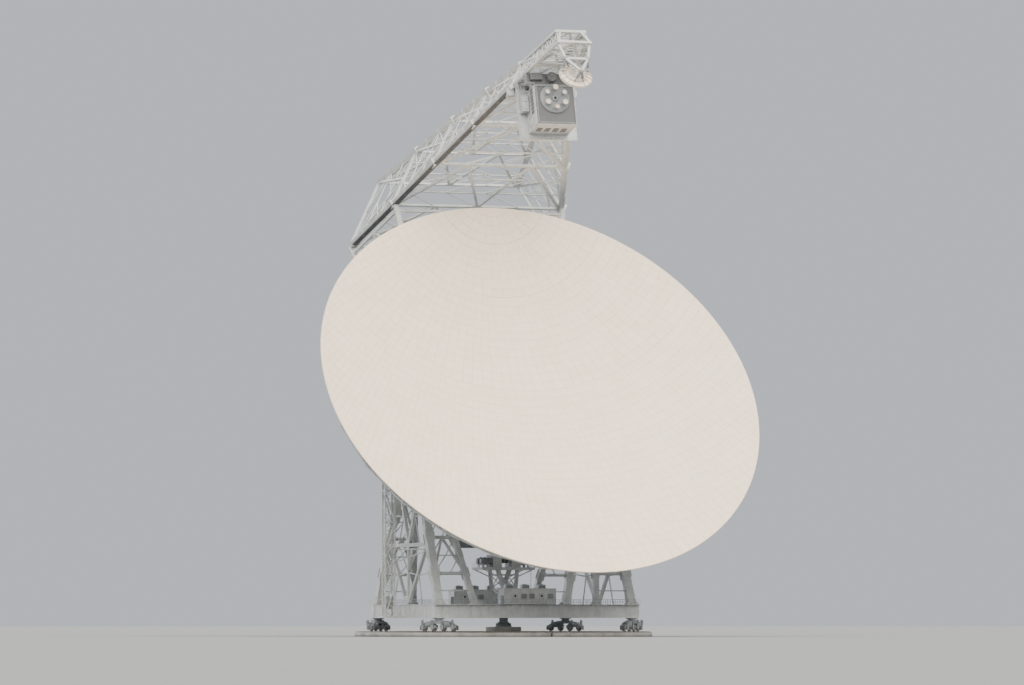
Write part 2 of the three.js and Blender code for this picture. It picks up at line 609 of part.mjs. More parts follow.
function mastWebs(grow) {
  const half = { chord: 0.4 + grow, reach: 0.4 + grow, rung: 0.28 + grow, brace: 0.22 + grow };
  const rows = (line, sign) => stationsOn(onSide(line, sign), MAST_STATIONS);
  const web = (a, b, thickness) => lattice(a, b, [1, 1], half, thickness + 2 * grow);
  return join([
    ...[-1, 1].map((sign) => web(rows(MAST.front, sign), rows(MAST.back, sign), 0.5)),
    web(rows(MAST.front, -1), rows(MAST.front, 1), 0.52),
    web(rows(MAST.back, -1), rows(MAST.back, 1), 0.54),
  ]);
}

function makeMast() {
  const bars = [-1, 1].flatMap((sign) => [
    [[sign * 3.2, ROOM.near + 0.3, ROOM.floor - 0.5], [sign * 3.2, 67.6, ROOM.floor - 0.5], 0.7],
    [[sign * 3.2, ROOM.near + 4, ROOM.floor - 0.5], [sign * 6.2, 64.3, ARM_HEAD + 1], 0.5],
  ]);
  bars.push([[-5.6, 64.4, ROOM.floor - 0.5], [5.6, 64.4, ROOM.floor - 0.5], 0.66]);
  const foot = block([-12, 40, ARM_CAP - 8], [12, 80, ARM_CAP + SEAT]);
  const trimmed = cut(join([mastWebs(0), struts(bars)]), [foot]);
  place(tipping, 'upper_feed_arm', trimmed, WHITE_STEEL);
  place(tipping, 'receiver_room', block([-ROOM.x, ROOM.near, ROOM.floor - 0.15 + SEAT],
    [ROOM.x, ROOM.far, ROOM.roof]), CABIN_WHITE);
  const turret = disc([0, 58, ROOM.roof + SEAT + 0.25], 3.4, 0.5, 'z', 24);
  const horns = [0, 1, 2, 3, 4, 5].map((i) => {
    const turn = (i * Math.PI) / 3;
    const [x, y] = [2.3 * Math.sin(turn), 58 - 2.3 * Math.cos(turn)];
    return disc([x, y, ROOM.roof + 1], 0.3, 1.3, 'z', 10, 0.5 + 0.1 * (i % 2));
  });
  place(tipping, 'feed_turret', join([turret, ...horns]), GREY_STEEL);
}

// Subreflector: part of an ellipsoid with one focus at the dish's own focus and the other just
// above the feed turret, traced by distance from the lower focus
const PRIME_FOCUS = [0, VERTEX_OFFSET, FOCAL_LENGTH + VERTEX_DROP];
const FEED_FOCUS = [0, 55.07, 54.05];
const MIRROR_CENTRE = [0, 58.1, 68.6];
const MIRROR_HALF_ANGLE = 14.6;

function mirrorPoint(polar, turn, back) {
  const lower = new THREE.Vector3(...FEED_FOCUS);
  const axis = new THREE.Vector3(...PRIME_FOCUS).sub(lower);
  const centre = new THREE.Vector3(...MIRROR_CENTRE).sub(lower);
  const toPrimeFocus = new THREE.Vector3(...MIRROR_CENTRE).distanceTo(new THREE.Vector3(...PRIME_FOCUS));
  const pathLength = centre.length() + toPrimeFocus;
  const eccentricity = axis.length() / pathLength;
  const side = new THREE.Vector3(1, 0, 0);
  const up = centre.clone().normalize();
  const other = up.clone().cross(side);
  const ray = up.clone().multiplyScalar(Math.cos(polar))
    .addScaledVector(side, Math.sin(polar) * Math.cos(turn))
    .addScaledVector(other, Math.sin(polar) * Math.sin(turn));
  const towards = ray.dot(axis.clone().normalize());
  const reach = (pathLength / 2) * (1 - eccentricity ** 2) / (1 - eccentricity * towards) + back;
  return lower.addScaledVector(ray, reach).multiplyScalar(METRE);
}

// A closed shell over a polar grid: point(ring, spoke, layer) for two layers, joined at the edge
function polarShell(rings, spokes, point) {
  const positions = [];
  const index = [];
  const at = [0, 1].map((layer) => {
    const first = positions.length / 3;
    positions.push(...point(0, 0, layer));
    for (let r = 1; r <= rings; r += 1) {
      for (let k = 0; k < spokes; k += 1) {
        positions.push(...point(r / rings, (k / spokes) * 2 * Math.PI, layer));
      }
    }
    return (r, k) => (r === 0 ? first : first + 1 + (r - 1) * spokes + (k % spokes));
  });
  at.forEach((id, layer) => {
    const face = (a, b, c) => (layer === 0 ? index.push(a, b, c) : index.push(a, c, b));
    for (let k = 0; k < spokes; k += 1) {
      face(id(0, 0), id(1, k), id(1, k + 1));
      for (let r = 1; r < rings; r += 1) {
        face(id(r, k), id(r + 1, k), id(r + 1, k + 1));
        face(id(r, k), id(r + 1, k + 1), id(r, k + 1));
      }
    }
  });
  const [top, bottom] = at;
  for (let k = 0; k < spokes; k += 1) {
    index.push(top(rings, k), bottom(rings, k), bottom(rings, k + 1));
    index.push(top(rings, k), bottom(rings, k + 1), top(rings, k + 1));
  }
  const geometry = new THREE.BufferGeometry();
  geometry.setAttribute('position', new THREE.Float32BufferAttribute(positions, 3));
  geometry.setIndex(index);
  return toSolid(geometry);
}

function mirrorShell(front, back) {
  return polarShell(3, 24, (r, turn, layer) => {
    const polar = THREE.MathUtils.degToRad(MIRROR_HALF_ANGLE * r);
    return mirrorPoint(polar, turn, layer === 0 ? back : front).toArray();
  });
}

function makeSubreflector() {
  place(tipping, 'subreflector', mirrorShell(0, 0.35), PANEL_WHITE);
  const behind = (x, forward, out) => [x, MIRROR_CENTRE[1] + 0.504 * out + 0.864 * forward,
    MIRROR_CENTRE[2] + 0.864 * out - 0.504 * forward];
  const corners = [behind(-2.6, 2, 2.6), behind(2.6, 2, 2.6), behind(0, -2.4, 2.6)];
  const feet = [behind(-2.9, 0.6, -0.1), behind(-1, 2.6, -0.1), behind(1, 2.6, -0.1), behind(2.9, 0.6, -0.1),
    behind(1, -2.6, -0.1), behind(-1, -2.6, -0.1)];
  const bars = corners.map((p, i) => [p, corners[(i + 1) % 3], 0.5]);
  bars.push([corners[0], feet[0], 0.32], [corners[0], feet[1], 0.32], [corners[1], feet[2], 0.32],
    [corners[1], feet[3], 0.32], [corners[2], feet[4], 0.32], [corners[2], feet[5], 0.32]);
  [-1, 1].forEach((sign) => {
    const corner = behind(sign * 2.6, 2, 2.6);
    bars.push([corner, mix(...onSide(MAST.front, sign), 0.98), 0.5]);
    bars.push([corner, mix(...onSide(MAST.front, sign), 0.8), 0.4]);
  });
  const mount = cut(struts(bars), [mirrorShell(-0.2, 0.35 + SEAT), mastWebs(SEAT)]);
  place(tipping, 'subreflector_mount', mount, WHITE_STEEL);
}

// Dish surface: four quarter shells of one off-axis paraboloid, cut round by the aperture
const RINGS = 7;
const SPOKES = 48;

function dishShell(top, bottom) {
  return polarShell(RINGS, SPOKES, (r, turn, layer) => {
    const x = APERTURE_RADIUS * r * Math.cos(turn);
    const y = APERTURE_RADIUS * r * Math.sin(turn);
    return [x, y, surface(x, y) + (layer === 0 ? top : bottom)].map((v) => v * METRE);
  });
}

const quarters = [['far_left', -1, -1], ['far_right', 1, -1], ['near_left', -1, 1], ['near_right', 1, 1]];
const JOINT = SEAT;

function quarterOf(solid, signX, signY) {
  const range = (sign) => (sign > 0 ? [JOINT, 60] : [-60, -JOINT]);
  const [x, y] = [range(signX), range(signY)];
  return solid.intersect(block([x[0], y[0], -20], [x[1], y[1], 80]));
}

// Backing structure: vertical trusses along and across the dish, and a ring truss under its rim
const TRUSS_LINES = [-30, -10, 10, 30];
const RIM_TRUSS_RADIUS = 48.2;
const RIM_ANGLES = [0, 12, 25.3, 38.5, 51.5, 64.7, 78];
const backing = (x, y) => surface(x, y) - 3.2 - 5.8 * (1 - (x * x + y * y) / APERTURE_RADIUS ** 2);
const UNDER_SHELL = 1;
const ARM_SEAT_SHARE = 0.43;

function trussPoints(line, alongX) {
  const end = Math.sqrt(RIM_TRUSS_RADIUS ** 2 - line ** 2);
  return [-end, ...TRUSS_LINES, end].map((t) => (alongX ? [t, line] : [line, t]));
}

function truss(line, alongX, grow) {
  const plan = trussPoints(line, alongX);
  const bottom = plan.map(([x, y]) => [x, y, backing(x, y)]);
  const top = plan.map(([x, y]) => [x, y, surface(x, y) - UNDER_SHELL]);
  const chord = 0.3 + grow;
  const half = grow > 0 ? { chord: 40, reach: chord, rung: chord, brace: 40 }
    : { chord, reach: chord, rung: 0.25, brace: 0.2 };
  return lattice(bottom, top, [0, 0, 0, 0, 0], half, (alongX ? 0.5 : 0.46) + 2 * grow);
}

// Pairs of legs that stand on the corners of the box structure and on the horizontal arm, and
// spread to the crossings of the trusses
function supportLegs() {
  return [-1, 1].flatMap((sign) => {
    const arm = mix(...onSide(horizontalChord.top, sign), ARM_SEAT_SHARE);
    const armSeat = [arm[0], arm[1], arm[2] + 0.9];
    const feet = [
      [[sign * BOX.x, -BOX.y, boxTop(-BOX.y)], -10],
      [[sign * BOX.x, BOX.y, boxTop(BOX.y)], 10],
      [armSeat, 30],
    ];
    const legs = feet.flatMap(([foot, line]) => [10, 30].map((x) => (
      [foot, [sign * x, line, backing(x, line)], 0.7])));
    return [...legs, [arm, armSeat, 0.8, [1, 0, 0]]];
  });
}

function makeDish() {
  const shell = dishShell(0, -SHELL_THICKNESS);
  quarters.forEach(([quarter, signX, signY]) => {
    place(tipping, `reflector_${quarter}`, quarterOf(shell, signX, signY), PANEL_WHITE);
  });
  const trusses = TRUSS_LINES.flatMap((line) => [truss(line, true, 0), truss(line, false, 0)]);
  const rimNodes = [0, 90, 180, 270].flatMap((start) => RIM_ANGLES.map((angle) => {
    const turn = THREE.MathUtils.degToRad(start + angle);
    return [RIM_TRUSS_RADIUS * Math.cos(turn), RIM_TRUSS_RADIUS * Math.sin(turn)];
  }));
  const bars = rimNodes.map(([x, y], i) => {
    const [nextX, nextY] = rimNodes[(i + 1) % rimNodes.length];
    return [[x, y, backing(x, y)], [nextX, nextY, backing(nextX, nextY)], 0.62];
  });
  const seats = TRUSS_LINES.flatMap((line) => {
    const crossing = trussPoints(line, false);
    return [...trussPoints(line, true), crossing[0], crossing[crossing.length - 1]];
  });
  seats.forEach(([x, y]) => {
    const height = surface(x, y);
    bars.push([[x, y, height - UNDER_SHELL - 0.2], [x, y, height + 0.4], 0.4]);
  });
  const armChords = [-1, 1].flatMap((sign) => horizontalChordBars(sign).map(grown));
  const frame = cut(join([...trusses, struts([...bars, ...supportLegs()])]),
    [dishShell(20, -SHELL_THICKNESS - SEAT), boxSolid(SEAT), ...armChords]);
  quarters.forEach(([quarter, signX, signY]) => {
    place(tipping, `backing_truss_${quarter}`, quarterOf(frame, signX, signY), WHITE_STEEL);
  });
}

makeFoundations();
makeBaseFrame();
[['front_left', 225], ['front_right', 315], ['rear_right', 45], ['rear_left', 135]]
  .forEach(([corner, angle]) => makeTruck(`truck_${corner}`, angle));
makeTowers();
makeSideFrames();
makeBearings();
makeDrive();
makeCabins();
makeLift();
makeBox();
makeWheel();
makeCounterweights();
makeFeedArm();
makeMast();
makeSubreflector();
makeDish();

export default telescope;
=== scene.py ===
"""A steerable radio telescope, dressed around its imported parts.

Lengths are in metres of the full-size structure. SITE and TIP turn them into the 1:10 model's frame.
"""
import math

import bmesh
import bpy
from mathutils import Matrix, Vector


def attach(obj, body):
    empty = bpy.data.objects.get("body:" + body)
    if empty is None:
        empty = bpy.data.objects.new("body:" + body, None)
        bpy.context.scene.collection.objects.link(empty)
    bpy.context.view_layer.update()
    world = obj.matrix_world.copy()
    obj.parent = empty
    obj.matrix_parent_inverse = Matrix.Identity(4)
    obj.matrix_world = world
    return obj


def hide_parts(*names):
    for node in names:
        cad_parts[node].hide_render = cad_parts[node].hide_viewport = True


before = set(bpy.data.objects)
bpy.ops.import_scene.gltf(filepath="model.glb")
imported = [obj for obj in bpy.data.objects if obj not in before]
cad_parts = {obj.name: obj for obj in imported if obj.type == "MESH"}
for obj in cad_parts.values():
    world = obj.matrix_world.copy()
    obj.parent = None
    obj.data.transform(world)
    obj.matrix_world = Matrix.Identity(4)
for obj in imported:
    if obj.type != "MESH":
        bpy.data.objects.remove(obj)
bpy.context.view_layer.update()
scene = bpy.context.scene

# Main dimensions
TRACK_RADIUS = 32.0
CORNER = TRACK_RADIUS / math.sqrt(2)
AXLE_HEIGHT = 48.2
BEAM_BOTTOM, BEAM_TOP = 4.2, 7.2
BEARING_X = 21.0
APERTURE_RADIUS = 50.0
FOCAL_LENGTH = 60.0
VERTEX_OFFSET = 54.0
VERTEX_DROP = 5.0
PANEL_THICKNESS = 0.2
TILT = math.radians(74)
MODEL_SCALE = 0.1
RAILING_HEIGHT = 1.15

SITE = Matrix.Scale(MODEL_SCALE, 4)
TIP = Matrix.Translation((0, 0, AXLE_HEIGHT * MODEL_SCALE)) @ Matrix.Rotation(TILT, 4, "X") @ SITE
SIDES = (-1, 1)
ALONG_X, ALONG_Y, UP = (1, 0, 0), (0, 1, 0), (0, 0, 1)

# Each part is its body, the frame it is drawn in and its usual paint.
GROUND = ("foundation", SITE, "cast_concrete")
FRAME = ("azimuth_frame", SITE, "tower_paint")
DISH = ("tipping_structure", TIP, "dish_frame_paint")


# Node trees

class Value:
    """One output in a node tree. Sums on it add Math nodes."""

    def __init__(self, graph, node, output=0):
        self.graph = graph
        self.node = node
        self.socket = node.outputs[output]

    def output(self, key):
        return Value(self.graph, self.node, key)

    def __add__(self, other):
        return self.graph.maths("ADD", self, other)

    __radd__ = __add__

    def __sub__(self, other):
        return self.graph.maths("SUBTRACT", self, other)

    def __rsub__(self, other):
        return self.graph.maths("SUBTRACT", other, self)

    def __mul__(self, other):
        return self.graph.maths("MULTIPLY", self, other)

    def __truediv__(self, other):
        return self.graph.maths("DIVIDE", self, other)


class Graph:
    """A node tree that is written as calls."""

    def __init__(self, tree):
        self.tree = tree

    def node(self, kind, sockets=(), output=0, **settings):
        made = self.tree.nodes.new(kind)
        for name, setting in settings.items():
            setattr(made, name, setting)
        for key, given in dict(sockets).items():
            for value in given if isinstance(given, list) else [given]:
                if isinstance(value, Value):
                    self.tree.links.new(value.socket, made.inputs[key])
                else:
                    made.inputs[key].default_value = value
        return Value(self, made, output) if made.outputs else None

    def maths(self, operation, *inputs):
        return self.node("ShaderNodeMath", enumerate(inputs), operation=operation)

    def vector_maths(self, operation, *inputs, output=0):
        return self.node("ShaderNodeVectorMath", enumerate(inputs), output, operation=operation)


class PieceGraph(Graph):
    def __init__(self, name, sizes):
        super().__init__(bpy.data.node_groups.new(name, "GeometryNodeTree"))
        kinds = {float: "NodeSocketFloat", int: "NodeSocketInt"}
        face = self.tree.interface
        face.new_socket("Geometry", in_out="INPUT", socket_type="NodeSocketGeometry")
        for label, size in sizes.items():
            face.new_socket(label, in_out="INPUT", socket_type=kinds[type(size)]).default_value = size
        face.new_socket("Finish", in_out="INPUT", socket_type="NodeSocketMaterial")
        face.new_socket("Geometry", in_out="OUTPUT", socket_type="NodeSocketGeometry")
        self.given = self.node("NodeGroupInput", output="Geometry")

    def size(self, label):
        return self.given.output(label)

    def geometry(self, kind, sockets=(), **settings):
        return self.node("GeometryNode" + kind, sockets, **settings)

    def upward(self, height):
        return self.node("ShaderNodeCombineXYZ", {2: height})

    def lifted(self, geometry, height):
        return self.geometry("Transform", {"Geometry": geometry, "Translation": self.upward(height)})

    def attribute(self, name):
        return self.geometry("InputNamedAttribute", {"Name": name}, data_type="FLOAT_VECTOR")

    def toned(self, geometry, domain, number):
        """Gives every member or panel its own slight tone, for its paint."""
        tone = self.node("FunctionNodeRandomValue", {2: 0.0, 3: 1.0, 7: number, 8: self.size("Tone seed")},
                         1, data_type="FLOAT")
        return self.marked(geometry, domain, "tone", tone)

    def marked(self, geometry, domain, name, value):
        return self.geometry("StoreNamedAttribute", {"Geometry": geometry, "Name": name, "Value": value},
                             data_type="FLOAT", domain=domain)

    def finish(self, geometry):
        real = self.geometry("RealizeInstances", {"Geometry": geometry})
        painted = self.geometry("SetMaterial", {"Geometry": real, "Material": self.size("Finish")})
        self.node("NodeGroupOutput", {0: painted})
        return self.tree


def unit_section(graph, section):
    """A member of length 1 and section 1 by 1, along Z."""
    if section == "box":
        return graph.geometry("MeshCube", {"Size": (1, 1, 1)})
    if section == "beam":
        plates = []
        for size, off in (((0.1, 0.8, 1), 0.0), ((1, 0.1, 1), 0.45), ((1, 0.1, 1), -0.45)):
            plate = graph.geometry("MeshCube", {"Size": size})
            plates.append(graph.geometry("Transform", {"Geometry": plate, "Translation": (0, off, 0)}))
        return graph.geometry("JoinGeometry", {"Geometry": plates})
    sides = {"tube": 8, "bolt": 6}[section]
    made = graph.geometry("MeshCylinder", {"Vertices": sides, "Radius": 0.5, "Depth": 1.0})
    if section == "bolt":
        return made
    return graph.geometry("SetShadeSmooth", {
        "Geometry": made, "Selection": made.output("Side"), "Shade Smooth": True})


def member_tree(section):
    """Puts a straight member on every point. Each point's attributes hold the member's direction,
    the side that faces out, and its width, depth and length."""
    graph = PieceGraph("members_" + section, {"Section scale": 1.0, "Tone seed": 3})
    directions = {0: graph.attribute("along"), 1: graph.attribute("facing")}
    turn = graph.node("FunctionNodeAxesToRotation", directions, primary_axis="Z", secondary_axis="Y")
    thickness = graph.size("Section scale")
    share = graph.node("ShaderNodeCombineXYZ", {0: thickness, 1: thickness, 2: 1.0})
    scaled = graph.vector_maths("MULTIPLY", graph.attribute("size"), share)
    placed = graph.geometry("InstanceOnPoints", {
        "Points": graph.given, "Instance": unit_section(graph, section), "Rotation": turn, "Scale": scaled})
    return graph.finish(graph.toned(placed, "INSTANCE", graph.geometry("InputIndex")))


# Finishes

class Paint(Graph):
    """A material's node tree, with patterns on object coordinates."""

    def __init__(self, name, turned=0.0):
        self.material = bpy.data.materials.new(name)
        self.material.use_nodes = True
        self.material.node_tree.nodes.clear()
        super().__init__(self.material.node_tree)
        coordinates = self.node("ShaderNodeTexCoord", output="Object")
        self.place = self.node("ShaderNodeMapping", {"Vector": coordinates, "Rotation": (-turned, 0, 0)})

    def noise(self, scale, detail=3.0, stretch=None):
        place = self.vector_maths("MULTIPLY", self.place, stretch) if stretch else self.place
        return self.node("ShaderNodeTexNoise", {"Vector": place, "Scale": scale, "Detail": detail})

    def step(self, value, low, high):
        return self.node("ShaderNodeMapRange", {"Value": value, "From Min": low, "From Max": high},
                         interpolation_type="SMOOTHSTEP")

    def mix(self, share, *colours):
        """Mixes two colours, each an output or its red, green and blue."""
        first, second = (colour if isinstance(colour, Value) else (*colour, 1) for colour in colours)
        return self.node("ShaderNodeMix", {0: share, 6: first, 7: second}, 2, data_type="RGBA")

    def shaded(self, colour, share):
        """Makes a colour lighter or darker by a share that is 0.5 for no change."""
        return self.node("ShaderNodeHueSaturation", {"Color": colour, "Value": share + 0.5})

    def attribute(self, name):
        """A mark on the mesh, which is 0 on parts that have none."""
        return self.node("ShaderNodeAttribute", output="Fac", attribute_name=name)

    def bump(self, height, distance, normal=None):
        sockets = {"Height": height, "Distance": distance, "Strength": 0.6}
        if normal:
            sockets["Normal"] = normal
        return self.node("ShaderNodeBump", sockets)

    def close(self, colour, roughness, normal, **fixed):
        """Ends the material. fixed holds its metallic and specular inputs."""
        sockets = {"Base Color": colour, "Roughness": roughness, "Normal": normal}
        sockets.update({name.replace("_", " "): value for name, value in fixed.items()})
        self.node("ShaderNodeOutputMaterial", {"Surface": self.node("ShaderNodeBsdfPrincipled", sockets)})
        return self.material


def weathered_paint(name, clean, chalked, grime, shine, turned=0.0):
    """Brushed or sprayed steel paint: chalked patches, rain streaks, a few rust spots."""
    paint = Paint(name, turned)
    patches = paint.noise(5.0, 6.0)
    streaks = paint.noise(1.0, 5.0, (34, 34, 2.6))
    spots = paint.step(paint.noise(46.0, 4.0), 0.69, 0.76) * paint.step(paint.noise(3.0), 0.5, 0.62)
    colour = paint.mix(paint.step(patches, 0.35, 0.68), clean, chalked)
    colour = paint.mix(paint.step(streaks, 0.52, 0.78) * 0.5, colour, grime)
    colour = paint.mix(spots * 0.55, colour, (0.24, 0.12, 0.06))
    colour = paint.shaded(colour, paint.attribute("tone") * 0.12 + 0.44)
    normal = paint.bump(patches, 0.004, paint.bump(paint.noise(260.0, 2.0), 0.0012))
    roughness = patches * 0.3 + shine + spots * 0.2
    return paint.close(colour, roughness, normal, Metallic=0.0, Specular_IOR_Level=0.4)


def reflector_paint(name):
    """Matt paint on the reflector's panels, a hair different from panel to panel, with faint dust that the
    rain has drawn down. The paint's warm cream is partly painted light: it stands in for the warmth of
    sunlight on white panels. Their undersides are bare aluminium."""
    paint = Paint(name, TILT)
    dust = paint.noise(1.4, 5.0)
    runs = paint.noise(1.0, 4.0, (26, 2.0, 2.0))
    # The clean and dusty colours are warmed toward cream as painted light, in place of warm sunlight on white
    # paint.
    colour = paint.mix(paint.step(dust, 0.35, 0.7) * 0.5, (0.95, 0.80, 0.635), (0.90, 0.75, 0.585))
    colour = paint.mix(paint.step(runs, 0.5, 0.8) * 0.22, colour, (0.66, 0.58, 0.48))
    under = paint.attribute("underside")
    colour = paint.mix(under, colour, paint.mix(dust, (0.58, 0.59, 0.60), (0.50, 0.51, 0.52)))
    colour = paint.shaded(colour, paint.attribute("tone") * 0.045 + 0.4775)
    normal = paint.bump(paint.noise(320.0, 2.0), 0.0006)
    return paint.close(colour, dust * 0.18 + 0.46, normal, Metallic=under * 0.4, Specular_IOR_Level=0.35)


def concrete(name):
    """Cast concrete with clouds, grain and pores."""
    paint = Paint(name)
    cloud = paint.noise(3.5, 7.0)
    grain = paint.noise(120.0, 5.0)
    pores = paint.step(paint.noise(75.0, 3.0), 0.66, 0.74)
    colour = paint.mix(paint.step(cloud, 0.35, 0.7), (0.47, 0.45, 0.41), (0.33, 0.32, 0.29))
    colour = paint.mix(pores * 0.6, colour, (0.16, 0.15, 0.14))
    colour = paint.shaded(colour, grain * 0.16 + 0.42)
    normal = paint.bump(grain - pores * 0.8, 0.004)
    return paint.close(colour, cloud * 0.15 + 0.8, normal, Metallic=0.0)


def rolled_rail(name):
    """The wheels polish a band along the middle of the track and leave its edges brown."""
    paint = Paint(name)
    flat = paint.vector_maths("MULTIPLY", paint.place, (1, 1, 0))
    radius = paint.vector_maths("LENGTH", flat, output="Value")
    off_middle = paint.maths("ABSOLUTE", radius - TRACK_RADIUS * MODEL_SCALE)
    rough_edge = paint.noise(30.0, 4.0)
    polished = 1.0 - paint.step(off_middle + rough_edge * 0.012, 0.034, 0.044)
    rust = paint.mix(rough_edge, (0.20, 0.11, 0.065), (0.10, 0.07, 0.055))
    colour = paint.mix(polished, rust, (0.46, 0.45, 0.44))
    normal = paint.bump(paint.noise(90.0, 4.0), 0.0015)
    return paint.close(colour, 0.75 - polished * 0.45, normal, Metallic=0.85)


def galvanised(name):
    """Zinc with its spangle, duller in clouds."""
    paint = Paint(name)
    spangle = paint.node("ShaderNodeTexVoronoi", {"Vector": paint.place, "Scale": 70.0})
    cloud = paint.noise(8.0, 4.0)
    colour = paint.mix(spangle, (0.40, 0.42, 0.43), (0.56, 0.58, 0.59))
    colour = paint.mix(paint.step(cloud, 0.5, 0.75) * 0.4, colour, (0.34, 0.34, 0.33))
    normal = paint.bump(cloud, 0.002)
    return paint.close(colour, spangle * 0.2 + 0.38, normal, Metallic=0.55)


def ribbed_cladding(name, turned=0.0):
    """Profiled sheet: upright ribs, laps between the sheets and rain marks."""
    paint = Paint(name, turned)
    parts = paint.node("ShaderNodeSeparateXYZ", {0: paint.place})
    across = parts + parts.output(1)
    ribs = paint.step(paint.maths("PINGPONG", across, 0.0125), 0.004, 0.0085)
    seam = 1.0 - paint.step(paint.maths("PINGPONG", across, 0.055), 0.0, 0.0015)
    cloud = paint.noise(6.0, 5.0)
    runs = paint.noise(1.0, 4.0, (40, 40, 3))
    colour = paint.mix(paint.step(cloud, 0.35, 0.7), (0.66, 0.66, 0.63), (0.57, 0.57, 0.55))
    colour = paint.mix(paint.step(runs, 0.5, 0.8) * 0.35 + seam * 0.3, colour, (0.33, 0.32, 0.29))
    normal = paint.bump(ribs, 0.006)
    return paint.close(colour, cloud * 0.2 + 0.42, normal, Metallic=0.0)


def machined_steel(name):
    """Bare gear and wheel steel: turned or rolled bright, with old grease that has caught dust."""
    paint = Paint(name)
    grease = paint.step(paint.noise(22.0, 5.0), 0.42, 0.62)
    scratches = paint.noise(1.0, 3.0, (900, 120, 120))
    colour = paint.mix(grease, (0.42, 0.41, 0.40), (0.13, 0.115, 0.10))
    colour = paint.shaded(colour, scratches * 0.3 + 0.35)
    normal = paint.bump(scratches, 0.0006)
    return paint.close(colour, 0.62 - grease * 0.3, normal, Metallic=0.75)


def dark_sheet(name, colour, shine):
    """Window glass, louvres and rubber; also the dark cable trays, roof sheet, cabinets and service platform
    on the feed arm and receiver room, whose darkness is painted shade.
    """
    paint = Paint(name)
    cloud = paint.noise(14.0, 3.0)
    shade = paint.shaded(paint.mix(cloud, colour, [0.6 * c for c in colour]), cloud * 0.2 + 0.4)
    normal = paint.bump(cloud, 0.001)
    return paint.close(shade, cloud * 0.15 + shine, normal, Metallic=0.0)


WHITE = ((0.66, 0.67, 0.65), (0.57, 0.58, 0.565), (0.36, 0.35, 0.32), 0.36)
GREY = ((0.27, 0.29, 0.30), (0.34, 0.355, 0.36), (0.10, 0.095, 0.085), 0.3)
FINISHES = {name: (make(name, *given), slot) for name, slot, make, *given in (
    ("tower_paint", "white_steel", weathered_paint, *WHITE),
    ("dish_frame_paint", "white_steel", weathered_paint, *WHITE, TILT),
    ("machinery_paint", "grey_steel", weathered_paint, *GREY),
    ("dish_machinery_paint", "grey_steel", weathered_paint, *GREY, TILT),
    ("galvanised_steel", "grey_steel", galvanised),
    ("rolled_rail", "rail_steel", rolled_rail),
    ("machined_steel", "rail_steel", machined_steel),
    ("cast_concrete", "concrete", concrete),
    ("panel_paint", "reflector_panel", reflector_paint),
    ("room_cladding", "cabin_cladding", ribbed_cladding),
    ("receiver_room_cladding", "cabin_cladding", ribbed_cladding, TILT),
    ("window_glass", "cabin_cladding", dark_sheet, (0.035, 0.045, 0.05), 0.06),
    ("louvre", "grey_steel", dark_sheet, (0.175, 0.18, 0.185), 0.5),
)}

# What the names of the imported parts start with, for each finish. The longest start counts.
NODE_FINISHES = {
    "cast_concrete": ("track_footing", "pintle_foundation"),
    "rolled_rail": ("azimuth_track",),
    "machinery_paint": ("pintle_bearing", "truck", "elevation_drive"),
    "tower_paint": ("elevation_drive_pedestal", "base_beam", "pintle_cross", "tower", "side_frame",
                    "elevation_bearing", "lift_shaft"),
    "room_cladding": ("equipment_room",),
    "dish_machinery_paint": ("elevation_shaft", "elevation_wheel", "counterweight", "feed_turret"),
    "receiver_room_cladding": ("receiver_room",),
    "panel_paint": ("reflector", "subreflector"),
    "dish_frame_paint": ("subreflector_mount", ""),
}


def paint_nodes():
    finishes = {start: finish for finish, starts in NODE_FINISHES.items() for start in starts}
    for name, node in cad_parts.items():
        longest = max((start for start in finishes if name.startswith(start)), key=len)
        node.data.materials.clear()
        node.data.materials.append(FINISHES[finishes[longest]][0])


# Piece making

def keep_piece(name, mesh, part, finish, replaced=()):
    """Puts a finished mesh in the scene as a piece that moves with its part of the telescope."""
    piece = bpy.data.objects.new(name, mesh)
    scene.collection.objects.link(piece)
    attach(piece, part[0])
    if replaced:
        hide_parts(*replaced)
    return piece


def grow_piece(name, tree, source, part, finish, replaced=(), **sizes):
    """Runs a tree on a source mesh, given as its points, edges and faces in full-size metres and any
    vectors on its points, and keeps the result as a plain mesh."""
    mesh = bpy.data.meshes.new(name + "_source")
    mesh.from_pydata(*source[:3])
    for label, vectors in dict(source[3:]).items():
        column = mesh.attributes.new(label, "FLOAT_VECTOR", "POINT")
        column.data.foreach_set("vector", [number for vector in vectors for number in vector])
    seed = bpy.data.objects.new(name + "_source", mesh)
    scene.collection.objects.link(seed)
    modifier = seed.modifiers.new(tree.name, "NODES")
    modifier.node_group = tree
    sizes["Finish"] = FINISHES[finish][0]
    for item in tree.interface.items_tree:
        if item.in_out == "INPUT" and item.name in sizes:
            modifier[item.identifier] = sizes[item.name]
    bpy.context.view_layer.update()
    depsgraph = bpy.context.evaluated_depsgraph_get()
    grown = bpy.data.meshes.new_from_object(seed.evaluated_get(depsgraph), depsgraph=depsgraph)
    seed.modifiers.remove(modifier)
    bpy.data.objects.remove(seed)
    grown.transform(part[1])
    return keep_piece(name, grown, part, finish, replaced)


MEMBER_TREES = {section: member_tree(section) for section in ("box", "tube", "bolt", "beam")}


def across_from(along, facing):
    """The side that faces out, or an axis across the member where it runs along that side."""
    for spare in (ALONG_Y if abs(along.y) < abs(along.z) else UP, ALONG_X):
        if along.cross(facing.normalized()).length < 0.05:
            facing = Vector(spare)
    return facing


